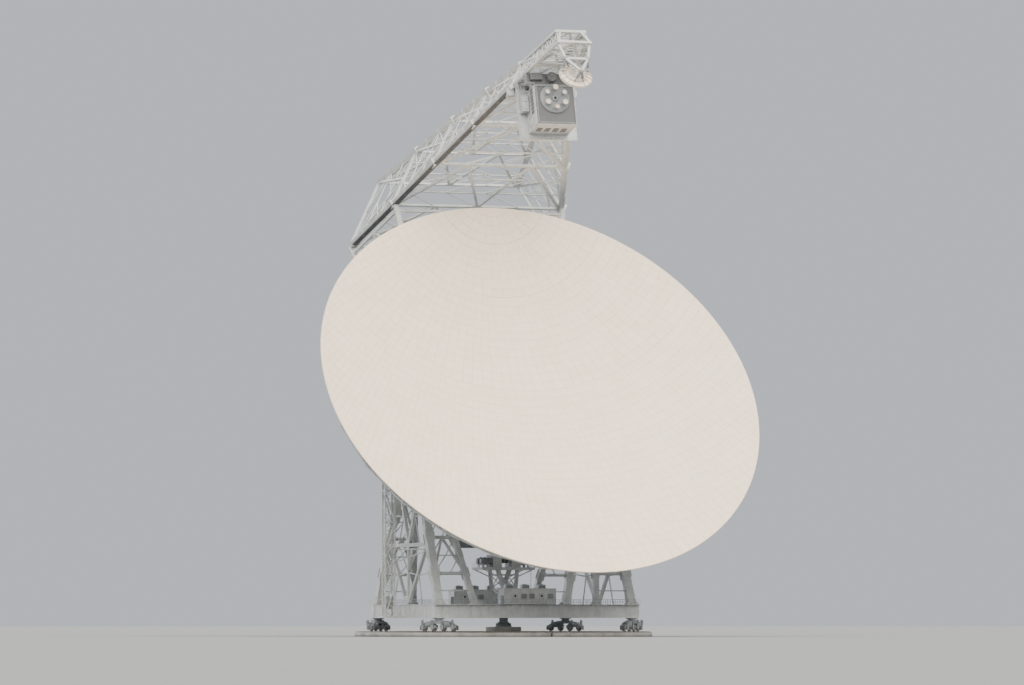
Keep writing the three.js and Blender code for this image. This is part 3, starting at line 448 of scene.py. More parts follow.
def members(name, part, section, bars, finish=None):
    """One piece of straight members. A bar is its two ends, width, depth and the side that faces out."""
    middles, alongs, facings, sizes = [], [], [], []
    for start, end, width, *rest in bars:
        start, end = Vector(start), Vector(end)
        depth = rest[0] if rest else width
        facing = rest[1] if len(rest) > 1 else UP
        along = (end - start).normalized()
        middles.append((start + end) / 2)
        alongs.append(along)
        facings.append(across_from(along, Vector(facing)))
        sizes.append((width, depth, (end - start).length))
    source = (middles, [], [], ("along", alongs), ("facing", facings), ("size", sizes))
    usual = "galvanised_steel" if section == "bolt" else part[2]
    grow_piece(name, MEMBER_TREES[section], source, part, finish or usual)


def between(a, b, share):
    return Vector(a).lerp(Vector(b), share)


def stations(line, shares):
    return [between(*line, share) for share in shares]


def halfway(row_a, row_b):
    return [between(a, b, 0.5) for a, b in zip(row_a, row_b)]


def on_circle(radius, degrees, x=0.0, y=0.0):
    turn = math.radians(degrees)
    return x + radius * math.cos(turn), y + radius * math.sin(turn)


def circle(count, radius, start=0.0, middle=(0.0, 0.0)):
    """Points spread evenly over a circle."""
    return [on_circle(radius, start + 360 * k / count, *middle) for k in range(count)]


def moved(place, bars):
    """The same members after a shift or a turn."""
    turn = place.to_3x3()
    return [(place @ Vector(a), place @ Vector(b), width, *rest[:1], *(turn @ Vector(f) for f in rest[1:]))
            for a, b, width, *rest in bars]


def at(x=0.0, y=0.0, z=0.0):
    return Matrix.Translation((x, y, z))


def around(degrees, axis="Z"):
    return Matrix.Rotation(math.radians(degrees), 4, axis)


class Shape:
    """A mesh put together from closed solids, in full-size metres. place moves what is added."""

    def __init__(self):
        self.bm = bmesh.new()

    def block(self, low, high, place=Matrix()):
        size = [abs(b - a) for a, b in zip(low, high)]
        there = place @ Matrix.Translation(between(low, high, 0.5)) @ Matrix.Diagonal((*size, 1))
        bmesh.ops.create_cube(self.bm, size=1, matrix=there)

    def blocks(self, *pairs, place=Matrix()):
        for low, high in pairs:
            self.block(low, high, place)

    def post(self, middle, half, low, high, place=Matrix()):
        """A block that reaches half of its width and depth each way from its middle."""
        (x, y), (a, b) = middle, half
        self.block((x - a, y - b, low), (x + a, y + b, high), place)

    def drum(self, start, end, radius, sides=24, end_radius=None, place=Matrix()):
        start, end = Vector(start), Vector(end)
        along = end - start
        there = Matrix.Translation((start + end) / 2) @ along.to_track_quat("Z", "Y").to_matrix().to_4x4()
        made = bmesh.ops.create_cone(self.bm, cap_ends=True, segments=sides, radius1=radius,
                                     radius2=radius if end_radius is None else end_radius,
                                     depth=along.length, matrix=place @ there)
        for face in {face for vert in made["verts"] for face in vert.link_faces}:
            face.smooth = len(face.verts) == 4

    def skin(self, outlines, place=Matrix(), joined=False, smooth=False):
        """Covers a row of outlines. The last is joined to the first, or both ends are capped."""
        rings = [[self.bm.verts.new(place @ Vector(point)) for point in outline] for outline in outlines]
        faces = []
        for here, after in zip(rings, rings[1:] + rings[:1] if joined else rings[1:]):
            for i in range(len(here)):
                j = (i + 1) % len(here)
                faces.append(self.bm.faces.new((here[i], after[i], after[j], here[j])))
                faces[-1].smooth = smooth
        if not joined:
            faces += [self.bm.faces.new(rings[0]), self.bm.faces.new(rings[-1][::-1])]
        bmesh.ops.recalc_face_normals(self.bm, faces=faces)

    def prism(self, outline, plane, low, high, place=Matrix()):
        """An outline in the "xz" or "yz" plane, made solid from low to high."""
        layers = [[(a, level, b) if plane == "xz" else (level, a, b) for a, b in outline]
                  for level in (low, high)]
        self.skin(layers, place)

    def spun(self, profile, sides, centre=(0, 0, 0), start=0.0, sweep=360.0, place=Matrix()):
        """A closed profile of (radius, height) points, turned about the Z axis through centre."""
        whole = sweep >= 360
        x, y, z = centre
        turns = [start + sweep * k / sides for k in range(sides if whole else sides + 1)]
        rings = [[(*on_circle(radius, turn, x, y), z + height) for radius, height in profile]
                 for turn in turns]
        self.skin(rings, place, whole, True)

    def piece(self, name, part, finish=None, bevel=0.0, replaced=()):
        """Ends the shape as a piece, with its edges worn by a bevel in full-size metres."""
        finish = finish or part[2]
        mesh = bpy.data.meshes.new(name)
        self.bm.to_mesh(mesh)
        self.bm.free()
        mesh.transform(part[1])
        mesh.materials.append(FINISHES[finish][0])
        piece = keep_piece(name, mesh, part, finish, replaced)
        if bevel:
            soften = piece.modifiers.new("worn edges", "BEVEL")
            soften.width = bevel * MODEL_SCALE
            soften.segments = 1
            soften.limit_method = "ANGLE"
            soften.angle_limit = math.radians(40)


def lacing(row_a, row_b, size, facing, crossed=False, rungs=True):
    """Cross members and diagonals between two rows of points."""
    bars = []
    for i, (a, b) in enumerate(zip(row_a, row_b)):
        if rungs:
            bars.append((a, b, size, size, facing))
        if i + 1 < len(row_a):
            if i % 2 == 0 or crossed:
                bars.append((a, row_b[i + 1], size, size, facing))
            if i % 2 == 1 or crossed:
                bars.append((b, row_a[i + 1], size, size, facing))
    return bars


def laced_bays(row_a, row_b, bays, size, facing, rungs=True):
    """Lacing in bays side by side between two rows of points."""
    columns = [[between(a, b, k / bays) for a, b in zip(row_a, row_b)] for k in range(bays + 1)]
    return [bar for pair in zip(columns, columns[1:]) for bar in lacing(*pair, size, facing, rungs=rungs)]


def on_side(points, sign):
    return [Vector((x * sign, y, z)) for x, y, z in points]


def chain(points, *section):
    """Members from each point to the next."""
    return [(a, b, *section) for a, b in zip(points, points[1:])]


def rungs_between(row_a, row_b, *section):
    return [(a, b, *section) for a, b in zip(row_a, row_b)]


def uprights(plan, *spans):
    """For each point of a plan, a bar for each span, which is its two heights and its section."""
    return [((x, y, low), (x, y, high), *section) for x, y in plan for low, high, *section in spans]


def mirrored(half):
    """A whole outline from its right half."""
    return [(-a, b) for a, b in reversed(half)] + list(half)


# Reflector

TIER_COUNT = 44
TIER_START = 4.0
TIER_STEP = 2 * APERTURE_RADIUS / TIER_COUNT
# How many panels a whole tier would have, out to each distance from the paraboloid's middle.
PANEL_ZONES = ((13, 33), (26, 66), (52, 132), (110, 264))


def surface(x, y):
    """Height of the dish surface along its beam: part of a paraboloid whose middle is off to +Y."""
    return (x * x + (VERTEX_OFFSET - y) ** 2) / (4 * FOCAL_LENGTH) + VERTEX_DROP


def tier_point(radius, turn):
    """A point of the plan at a distance and a direction from the paraboloid's middle."""
    return Vector((radius * math.sin(turn), VERTEX_OFFSET - radius * math.cos(turn)))


def panel_count(radius):
    return [count for reach, count in PANEL_ZONES if radius < reach][0]


def inside_aperture(corners):
    """Cuts a panel's outline back to the round aperture."""
    kept = []
    limit = APERTURE_RADIUS ** 2
    for here, after in zip(corners, corners[1:] + corners[:1]):
        if here.length_squared <= limit:
            kept.append(here)
        if (here.length_squared <= limit) != (after.length_squared <= limit):
            step = after - here
            a, b, c = step.dot(step), 2 * here.dot(step), here.dot(here) - limit
            root = math.sqrt(b * b - 4 * a * c)
            share = [t for t in ((-b - root) / (2 * a), (-b + root) / (2 * a)) if 0 <= t <= 1][0]
            kept.append(here + step * share)
    return kept


def panel_outlines():
    outlines = []
    for tier in range(TIER_COUNT):
        near = TIER_START + tier * TIER_STEP
        far = near + TIER_STEP
        count = panel_count(near + TIER_STEP / 2)
        for k in range(-count // 2, count // 2):
            left, right = (2 * math.pi * turn / count for turn in (k, k + 1))
            corners = ((near, left), (far, left), (far, right), (near, right))
            kept = inside_aperture([tier_point(*corner) for corner in corners])
            if len(kept) > 2:
                outlines.append(kept)
    return outlines


def panel_tree():
    """Bends flat panel outlines onto the paraboloid and gives them their thickness."""
    graph = PieceGraph("dished_panels", {
        "Focal length": FOCAL_LENGTH, "Middle offset": VERTEX_OFFSET, "Drop": VERTEX_DROP,
        "Thickness": PANEL_THICKNESS, "Panel share": 0.984, "Tone seed": 8})
    apart = graph.geometry("ScaleElements", {"Geometry": graph.given, "Scale": graph.size("Panel share")})
    finer = graph.geometry("SubdivideMesh", {"Mesh": apart, "Level": 1})
    place = graph.node("ShaderNodeSeparateXYZ", {0: graph.geometry("InputPosition")})
    off_middle = graph.size("Middle offset") - place.output(1)
    height = (place * place + off_middle * off_middle) / (graph.size("Focal length") * 4.0)
    lift = graph.upward(height + graph.size("Drop") - graph.size("Thickness"))
    sheet = graph.geometry("SetPosition", {"Geometry": finer, "Offset": lift})
    upper = graph.geometry("ExtrudeMesh", {
        "Mesh": sheet, "Offset Scale": graph.size("Thickness"), "Individual": False})
    lower = graph.marked(graph.geometry("FlipFaces", {"Mesh": sheet}), "FACE", "underside", 1.0)
    both = graph.geometry("JoinGeometry", {"Geometry": [upper, lower]})
    closed = graph.geometry("MergeByDistance", {"Geometry": both, "Distance": 0.002})
    return graph.finish(graph.toned(closed, "FACE", graph.geometry("InputMeshIsland")))


def make_reflector():
    corners, faces = [], []
    for outline in panel_outlines():
        faces.append([len(corners) + i for i in range(len(outline))])
        corners += [(x, y, 0) for x, y in outline]
    quarters = [f"reflector_{end}_{side}" for end in ("far", "near") for side in ("left", "right")]
    grow_piece("reflector_panels", panel_tree(), (corners, [], faces), DISH, "panel_paint", quarters)


# Backing structure of the dish

GRID_STEP = 5
CAD_LINES = (-30, -10, 10, 30)
RIM_TRUSS_RADIUS = 48.2
RIM_ANGLES = (0, 12, 25.3, 38.5, 51.5, 64.7, 78)
UPPER_CHORD_DROP = 1
EDGE_DEPTH = 3.2
MIDDLE_EXTRA_DEPTH = 5.8
JACK_DROP = 0.92


def on_upper_chord(x, y):
    return x, y, surface(x, y) - UPPER_CHORD_DROP


def on_lower_chord(x, y):
    """The trusses are deepest under the middle of the dish."""
    extra = MIDDLE_EXTRA_DEPTH * (1 - (x * x + y * y) / APERTURE_RADIUS ** 2)
    return x, y, surface(x, y) - EDGE_DEPTH - extra


def grid_line(line, along_x):
    """Points on one line of the backing grid, out to the rim truss."""
    end = math.sqrt(RIM_TRUSS_RADIUS ** 2 - line ** 2)
    count = int((end - 1.2) // GRID_STEP)
    places = [-end] + [GRID_STEP * k for k in range(-count, count + 1)] + [end]
    return [(t, line) if along_x else (line, t) for t in places]


def make_backing():
    """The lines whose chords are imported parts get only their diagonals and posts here."""
    chords, webs, posts = [], [], []
    for line in range(-45, 46, GRID_STEP):
        for along_x in (True, False):
            plan = grid_line(line, along_x)
            low = [on_lower_chord(*point) for point in plan]
            high = [on_upper_chord(*point) for point in plan]
            middle = len(plan) // 2
            for i in range(len(plan) - 1):
                if line not in CAD_LINES:
                    chords += [(low[i], low[i + 1], 0.34), (high[i], high[i + 1], 0.26)]
                webs.append((low[i], high[i + 1], 0.22) if i < middle else (high[i], low[i + 1], 0.22))
            if along_x:
                posts += rungs_between(low[1:-1], high[1:-1], 0.24)
            posts += [(low[i], high[i], 0.3) for i in (0, -1)]
    rim = [on_circle(RIM_TRUSS_RADIUS, 90 * turn + angle) for turn in range(4) for angle in RIM_ANGLES]
    for here, after in zip(rim, rim[1:] + rim[:1]):
        chords.append((on_upper_chord(*here), on_upper_chord(*after), 0.4))
        webs.append((on_lower_chord(*here), on_upper_chord(*after), 0.26))
    for name, bars in (("chords", chords), ("diagonals", webs), ("posts", posts)):
        members("backing_" + name, DISH, "tube", bars)


def make_jacks():
    """Each corner of the panels stands on a small jack, and the jacks on purlins that follow the tiers."""
    jacks, purlins, heads = [], [], []
    for tier in range(TIER_COUNT + 1):
        radius = TIER_START + tier * TIER_STEP
        count = panel_count(max(radius - TIER_STEP / 2, 1))
        row = [tier_point(radius, 2 * math.pi * k / count) for k in range(-count // 2, count // 2)]
        row = [point for point in row if point.length < APERTURE_RADIUS - 0.25]
        feet = [Vector((x, y, surface(x, y) - JACK_DROP)) for x, y in row]
        for foot in feet:
            jacks.append((foot, foot + Vector((0, 0, 0.74)), 0.17))
            heads.append((foot + Vector((0, 0, 0.52)), foot + Vector((0, 0, 0.7)), 0.34))
        purlins += [(a, b, 0.12, 0.22) for a, b in zip(feet, feet[1:]) if (b - a).length < 3.2]
    members("panel_jacks", DISH, "bolt", jacks + heads, "dish_machinery_paint")
    members("panel_purlins", DISH, "box", purlins)


# Lattice box that carries the dish

BOX_X, BOX_POST, BOX_Y, BOX_LOW = 15.6, 10.0, 12.0, -12.0
BOX_ROWS = (-12, -6, 0, 6, 12)
BOX_SPANS = (-BOX_X, -BOX_POST, -5, 0, 5, BOX_POST, BOX_X)


def box_floor(y):
    return BOX_LOW


def box_top(y):
    return 2.4 + (BOX_Y - y) * 0.36


def box_row(x, level):
    return [(x, y, level(y)) for y in BOX_ROWS]


def collars(line, shares, width, depth, length, facing):
    """Splice plates round a straight chord."""
    a, b = Vector(line[0]), Vector(line[1])
    half = (b - a).normalized() * length / 2
    return [(p - half, p + half, width, depth, facing) for p in stations((a, b), shares)]


def gussets(points, normal, width, height, thickness):
    """Flat plates over the joints of a lattice, on the side that the normal points to."""
    out = Vector(normal).normalized() * thickness / 2
    return [(Vector(p) - out, Vector(p) + out, width, height) for p in points]


def make_box():
    plates, braces = [], []
    for sign in SIDES:
        x, y = sign * BOX_X, sign * BOX_Y
        low, high = (box_row(x, level) for level in (box_floor, box_top))
        braces += laced_bays(low, high, 2, 0.32, ALONG_X, rungs=False)
        braces += chain(halfway(low, high), 0.36, 0.36, ALONG_X)
        for side in (-0.6, 0.6):
            corners = [(x + side, along, z) for _, along, z in low[::2] + high[::2]]
            plates += gussets(corners, ALONG_X, 2.2, 2.0, 0.08)
        low, high = ([(span, y, level(y)) for span in BOX_SPANS] for level in (box_floor, box_top))
        braces += laced_bays(low, high, 2, 0.3, ALONG_Y, rungs=False)
        braces += chain(halfway(low, high), 0.4, 0.4, ALONG_Y)
        for level in (box_floor, box_top):
            braces += lacing(box_row(sign * BOX_POST, level), box_row(x, level), 0.3, UP, crossed=True)
    for level in (box_floor, box_top):
        braces += laced_bays(box_row(-BOX_POST, level), box_row(BOX_POST, level), 2, 0.34, UP)
    members("box_bracing", DISH, "tube", braces)
    members("box_gussets", DISH, "box", plates)


# Feed arm

ARM_FOOT, ARM_HEAD = -23.0, 46.0
ARM_FRONT = ((25.5, 50, ARM_FOOT), (7.2, 63.5, ARM_HEAD))
ARM_BACK = ((17, 66, ARM_FOOT), (4.5, 69, ARM_HEAD))
ARM_STATIONS = (0, 0.27, 0.53, 0.77, 1)
LEVEL_TOP = ((BOX_X, BOX_Y, -3.4), tuple(between(*ARM_FRONT, 20 / 69)))
LEVEL_BOTTOM = ((BOX_X, BOX_Y, BOX_LOW), ARM_FRONT[0])
LEVEL_STATIONS = (0.03, 0.34, 0.65, 0.95)
MAST_FRONT = ((6.4, 64.1, ARM_HEAD + 0.45), (3.6, 65.2, 69.4))
MAST_BACK = ((4.4, 68.9, ARM_HEAD + 0.45), (3.2, 68.4, 67.6))
# A cable tray's bed, its edges and its cables: how far across and out, width and depth.
TRAY_BARS = ((0, 0, 0.5, 0.06), (-0.25, 0, 0.04, 0.22), (0.25, 0, 0.04, 0.22),
             (-0.15, 0.07, 0.09, 0.09), (-0.03, 0.07, 0.09, 0.09), (0.12, 0.07, 0.09, 0.09))


def divided(shares, parts=2):
    """Stations with others put in between them."""
    finer = [a + (b - a) * k / parts for a, b in zip(shares, shares[1:]) for k in range(parts)]
    return finer + [shares[-1]]


def make_feed_arm():
    fine, cross_members, splices = [], [], []
    shares = divided(ARM_STATIONS, 3)
    for sign in SIDES:
        facing = (sign * 16, -8.5, 0)
        out = Vector(facing).normalized() * 0.62
        front, back = (on_side(stations(line, shares), sign) for line in (ARM_FRONT, ARM_BACK))
        fine += laced_bays(front, back, 2, 0.2, facing)
        for line, points in ((ARM_FRONT, front), (ARM_BACK, back)):
            start, end = on_side(line, sign)
            splices += collars((start, end), shares[1:-1], 1.24, 1.24, 0.9, facing)
            splices += [(p - out, p + out, 1.7, 2.6, end - start) for p in points[3:-1:3]]
    for line, facing in ((ARM_FRONT, (0, -1, 0.2)), (ARM_BACK, ALONG_Y)):
        left, right = (on_side(stations(line, shares), sign) for sign in SIDES)
        fine += laced_bays(left, right, 4, 0.19, facing)
        cross_members += rungs_between(left[1:-1], right[1:-1], 0.34, 0.34, facing)
    members("feed_arm_fine_lacing", DISH, "box", fine)
    members("feed_arm_cross_members", DISH, "beam", cross_members)
    members("feed_arm_splices", DISH, "box", splices)


def make_horizontal_arm():
    fine, splices = [], []
    lines = (LEVEL_TOP, LEVEL_BOTTOM)
    shares = divided(LEVEL_STATIONS, 3)
    rows = {sign: [on_side(stations(line, shares), sign) for line in lines] for sign in SIDES}
    for sign in SIDES:
        fine += laced_bays(*rows[sign], 2, 0.22, ALONG_X)
        for line in lines:
            splices += collars(on_side(line, sign), shares[1:-1], 1.2, 1.2, 0.9, ALONG_X)
    for left, right in zip(rows[-1], rows[1]):
        fine += laced_bays(left, right, 4, 0.22, UP)
    members("horizontal_arm_lacing", DISH, "box", fine)
    members("horizontal_arm_splices", DISH, "box", splices)


def make_cable_run():
    """Cable trays up the front left chord, from the elbow to the head, and a ladder up the right one."""
    foot, head = on_side(ARM_FRONT, -1)
    along = (head - foot).normalized()
    out = Vector((-0.25, -1, 0))
    out = (out - along * out.dot(along)).normalized()
    side = along.cross(out)
    trays = []
    for lane in (-0.3, 0.3):
        ends = [p + out * 0.78 + side * lane for p in stations((foot, head), (0.03, 0.985))]
        for across, raised, width, depth in TRAY_BARS:
            start, end = (p + side * across + out * raised for p in ends)
            trays.append((start, end, width, depth, out))
    holds = [p + out * 0.6 for p in stations((foot, head), [k / 46 for k in range(1, 46)])]
    # The trays are real fittings, but their dark finish is painted shade along the front left chord.
    members("feed_arm_cable_trays", DISH, "box", trays, "louvre")
    members("feed_arm_tray_brackets", DISH, "box",
            [(p - side * 0.6, p + side * 0.6, 0.1, 0.16, out) for p in holds], "galvanised_steel")
    start, end = (p + Vector((0, -0.85, 0)) for p in stations(ARM_FRONT, (0.03, 0.985)))
    members("feed_arm_ladder", DISH, "bolt", ladder(start, end, ALONG_X))


def make_mast():
    shares = [k / 8 for k in range(9)]
    lines = (MAST_FRONT, MAST_BACK)
    front, back = ([on_side(stations(line, shares), sign) for sign in SIDES] for line in lines)
    fine = []
    for pair in zip(front, back):
        fine += lacing(*pair, 0.16, ALONG_X, crossed=True)
    for pair in (front, back):
        fine += lacing(*pair, 0.17, ALONG_Y)
    members("mast_lacing", DISH, "box", fine)


# Railings and ladders

def railing_tree():
    """A railing along a path: posts at even steps, a top rail and a knee rail."""
    graph = PieceGraph("railing", {"Height": RAILING_HEIGHT, "Post step": 1.6, "Bar": 0.07, "Tone seed": 5})
    path = graph.geometry("MeshToCurve", {"Mesh": graph.given})
    profile = graph.geometry("CurvePrimitiveCircle", {"Resolution": 6, "Radius": graph.size("Bar") * 0.5})
    rails = []
    for share in (1.0, 0.52):
        raised = graph.lifted(path, graph.size("Height") * share)
        rails.append(graph.geometry("CurveToMesh", {
            "Curve": raised, "Profile Curve": profile, "Fill Caps": True}))
    stops = graph.geometry("ResampleCurve", {"Curve": path, "Length": graph.size("Post step")}, mode="LENGTH")
    post = graph.geometry("MeshCylinder", {
        "Vertices": 6, "Radius": graph.size("Bar") * 0.5, "Depth": graph.size("Height")})
    stood = graph.lifted(post, graph.size("Height") * 0.5)
    posts = graph.geometry("InstanceOnPoints", {"Points": stops, "Instance": stood})
    toned = graph.toned(posts, "INSTANCE", graph.geometry("InputIndex"))
    return graph.finish(graph.geometry("JoinGeometry", {"Geometry": [*rails, toned]}))


RAILING_TREE = railing_tree()


def railings(name, part, paths, height=RAILING_HEIGHT):
    """Railings along paths. A path is its height and the corners of its plan."""
    points, edges = [], []
    for level, *corners in paths:
        edges += [(len(points) + i, len(points) + i + 1) for i in range(len(corners) - 1)]
        points += [(x, y, level) for x, y in corners]
    grow_piece(name, RAILING_TREE, (points, edges, []), part, "galvanised_steel", Height=height)


def ladder(start, end, side, width=0.6, rung=0.35):
    """Two stiles and the rungs between them. side is the direction across the ladder."""
    start, end, half = Vector(start), Vector(end), Vector(side).normalized() * width / 2
    bars = [(start + sign * half, end + sign * half, 0.07) for sign in SIDES]
    count = int((end - start).length / rung)
    steps = stations((start, end), [k / count for k in range(1, count)])
    return bars + [(point - half, point + half, 0.045) for point in steps]


# Subreflector and receiver room

PRIME_FOCUS = Vector((0, VERTEX_OFFSET, FOCAL_LENGTH + VERTEX_DROP))
FEED_FOCUS = Vector((0, 55.07, 54.05))
MIRROR_CENTRE = Vector((0, 58.1, 68.6))
MIRROR_HALF_ANGLE = math.radians(14.6)
MIRROR_RINGS, MIRROR_SPOKES = 12, 60
ROOM = ((-4.5, 52, 47.85), (4.5, 61, 53.4))
TURRET = (0, 58, 53.5)
ROOM_DECK, SERVICE_DECK, COOLER_DECK = 47.6, 53.34, 45.85


def mirror_point(share, turn, back):
    """A point of the ellipsoid between the two foci, or behind it by a distance. share is how far
    out to the edge it is."""
    axis = PRIME_FOCUS - FEED_FOCUS
    centre = MIRROR_CENTRE - FEED_FOCUS
    path_length = centre.length + (MIRROR_CENTRE - PRIME_FOCUS).length
    eccentricity = axis.length / path_length
    up, side = centre.normalized(), Vector(ALONG_X)
    polar = MIRROR_HALF_ANGLE * share
    sideways = side * math.cos(turn) + up.cross(side) * math.sin(turn)
    ray = up * math.cos(polar) + sideways * math.sin(polar)
    towards = ray.dot(axis.normalized())
    reach = (path_length / 2) * (1 - eccentricity ** 2) / (1 - eccentricity * towards) + back
    return FEED_FOCUS + ray * reach


def make_subreflector():
    skin, edges = Shape(), []
    turns = [2 * math.pi * k / MIRROR_SPOKES for k in range(MIRROR_SPOKES)]
    for back in (0.0, 0.3):
        inner = [skin.bm.verts.new(mirror_point(0, 0, back))] * MIRROR_SPOKES
        for ring in range(1, MIRROR_RINGS + 1):
            outer = [skin.bm.verts.new(mirror_point(ring / MIRROR_RINGS, turn, back)) for turn in turns]
            for k in range(MIRROR_SPOKES):
                corners = dict.fromkeys((inner[k - 1], outer[k - 1], outer[k], inner[k]))
                skin.bm.faces.new(list(corners)).smooth = True
            inner = outer
        edges.append(inner)
    front, rear = edges
    for k in range(MIRROR_SPOKES):
        skin.bm.faces.new((front[k - 1], rear[k - 1], rear[k], front[k]))
    bmesh.ops.recalc_face_normals(skin.bm, faces=skin.bm.faces)
    skin.piece("subreflector_skin", DISH, "panel_paint", replaced=("subreflector",))
    ribs = []
    for k in range(16):
        turn = 2 * math.pi * k / 16
        out = mirror_point(0.5, turn, 1) - mirror_point(0.5, turn, 0)
        ribs += chain([mirror_point(share, turn, 0.44) for share in (0.08, 0.35, 0.65, 0.97)], 0.06, 0.3, out)
    for share in (0.35, 0.65, 0.96):
        hoop = [mirror_point(share, 2 * math.pi * k / 32, 0.46) for k in range(33)]
        ribs += chain(hoop, 0.06, 0.34, MIRROR_CENTRE - FEED_FOCUS)
    members("subreflector_ribs", DISH, "box", ribs)


def behind(x, forward, out):
    """A point behind the subreflector, in its own directions."""
    return MIRROR_CENTRE + Vector((x, 0.504 * out + 0.864 * forward, 0.864 * out - 0.504 * forward))


def make_mirror_jacks():
    corners = [behind(x, forward, 2.6) for x, forward in ((-2.6, 2), (2.6, 2), (0, -2.4))]
    feet = [behind(x, forward, 0.1) for x, forward in
            ((-2.9, 0.6), (-1, 2.6), (1, 2.6), (2.9, 0.6), (1, -2.6), (-1, -2.6))]
    drums = ((0.12, 0.62, 0.27, 16), (0.62, 0.7, 0.32, 16), (0.9, 1.0, 0.3, 12, 0.2))
    jacks = Shape()
    for i, foot in enumerate(feet):
        for low, high, *sizes in drums:
            jacks.drum(*stations((corners[i // 2], foot), (low, high)), *sizes)
    for corner in corners:
        jacks.drum(corner - Vector((0.4, 0, 0)), corner + Vector((0.4, 0, 0)), 0.42, 16)
    jacks.piece("subreflector_jacks", DISH, "dish_machinery_paint", 0.02)


def make_receiver_room():
    (x0, y0, z0), (x1, y1, z1) = ROOM
    trim, vents_and_painted_shade, service_deck_painted_shade, coolers, decks = (Shape() for _ in range(5))
    trim.block((x0 - 0.12, y0 - 0.12, z1 - 0.02), (x1 + 0.12, y1 + 0.12, z1 + 0.1))
    trim.block((x0 - 0.14, y0 - 0.14, z0 - 0.06), (x1 + 0.14, y1 + 0.14, z0 + 0.2))
    # The dark sheet over the whole roof is painted shade: the shadow of the subreflector and mast on the
    # roof.
    vents_and_painted_shade.block((x0 + 0.02, y0 + 0.02, z1 + 0.1), (x1 - 0.02, y1 - 0.02, z1 + 0.16))
    for side, x in zip(SIDES, (x0, x1)):
        trim.block((x + side * 0.14, y0 - 0.14, z1 - 0.5), (x - side * 0.02, y1 + 0.14, z1 + 0.32))
        trim.post((x, 53.85), (0.1, 0.65), z0 + 0.25, z0 + 2.5)
        for y in (y0, y1):
            trim.post((x, y), (0.13, 0.13), z0 - 0.05, z1)
        for k in range(7):
            vents_and_painted_shade.post((side * 4.56, 55.525 + k * 0.9), (0.06, 0.325), z0 + 2.9, z0 + 4.4)
        coolers.post((side * 5.45, 58.3), (0.75, 1.9), z0 - 0.1, z0 + 1.9)
        for y in (57.4, 59.2):
            coolers.drum((side * 5.45, y, z0 + 1.9), (side * 5.45, y, z0 + 2.05), 0.6, 20)
        decks.post((side * 5.6, 58), (1.1, 6), ROOM_DECK - 0.15, ROOM_DECK)
    for side, y in zip(SIDES, (y0, y1)):
        trim.block((x0 - 0.14, y + side * 0.14, z1 - 0.5), (x1 + 0.14, y - side * 0.02, z1 + 0.32))
    for k in range(4):
        vents_and_painted_shade.post((k * 1.9 - 3, y0 - 0.03), (0.6, 0.07), z0 + 1.2, z0 + 3.2)
        # The four dark cabinets on the cooler deck are painted shade, a dark band across the head of the arm.
        vents_and_painted_shade.post((k * 3.2 - 5.3, 62.75), (1.3, 0.55), COOLER_DECK + 0.05, COOLER_DECK + 1.75)
    # The dark service platform at the turret's level, with its lockers and drum, is painted shade across the
    # head.
    service_deck_painted_shade.blocks(((-6.6, 61.3, SERVICE_DECK - 0.09), (6.6, 64.0, SERVICE_DECK)),
                   ((-5.4, 62.2, SERVICE_DECK), (-2.6, 63.7, 54.3)),
                   ((2.2, 62.4, SERVICE_DECK), (4.4, 63.8, 54.1)))
    service_deck_painted_shade.spun([(0.1, 0), (1.1, 0), (1.1, 0.2), (0.75, 0.25), (0.75, 0.9), (1.1, 0.95), (1.1, 1.15),
                  (0.1, 1.15)], 40, (-0.4, 62.9, SERVICE_DECK))
    decks.blocks(((-6.7, 50.6, ROOM_DECK - 0.15), (6.7, 52, ROOM_DECK)),
                 ((-8.2, 61.6, COOLER_DECK - 0.4), (8.2, 63.4, COOLER_DECK)))
    trim.piece("receiver_room_trim", DISH, bevel=0.03)
    vents_and_painted_shade.piece("receiver_room_vents_and_painted_shade", DISH, "louvre", 0.03)
    service_deck_painted_shade.piece("service_platform", DISH, "louvre", 0.03)
    coolers.piece("receiver_room_coolers", DISH, "galvanised_steel", 0.05)
    decks.piece("receiver_room_decks", DISH, "galvanised_steel")
    beams = [((-6.6, y, 47.3), (6.6, y, 47.3), 0.3, 0.34) for y in (51.0, 53.2, 55.4, 57.6, 59.8, 62.0)]
    beams += [((x, 50.8, 47.1), (x, 64.0, 47.1), 0.26, 0.4) for x in (-6.5, -4.4, 4.4, 6.5)]
    beams.append(((-8.2, 61.7, 45.2), (8.2, 61.7, 45.2), 0.4, 0.6))
    beams += [((x, 61.0, 52.9), (x, 64.5, 52.9), 0.24, 0.5) for x in (-4.4, 0, 4.4)]
    beams += [((-6.6, y, 53.1), (6.6, y, 53.1), 0.2, 0.3) for y in (61.4, 63.9)]
    members("receiver_room_beams", DISH, "beam", beams)
    railings("receiver_room_railings", DISH, [
        (ROOM_DECK, (-4.5, 64), (-6.65, 64), (-6.65, 50.7), (6.65, 50.7), (6.65, 64), (4.5, 64)),
        (53.5, (-4.4, 52.1), (4.4, 52.1), (4.4, 60.9), (-4.4, 60.9), (-4.4, 52.1)),
        (SERVICE_DECK, (-4.6, 61.35), (-6.55, 61.35), (-6.55, 63.95), (6.55, 63.95), (6.55, 61.35),
         (4.6, 61.35)),
        (COOLER_DECK, (-8.1, 63.3), (-8.1, 61.7), (8.1, 61.7), (8.1, 63.3)),
    ])


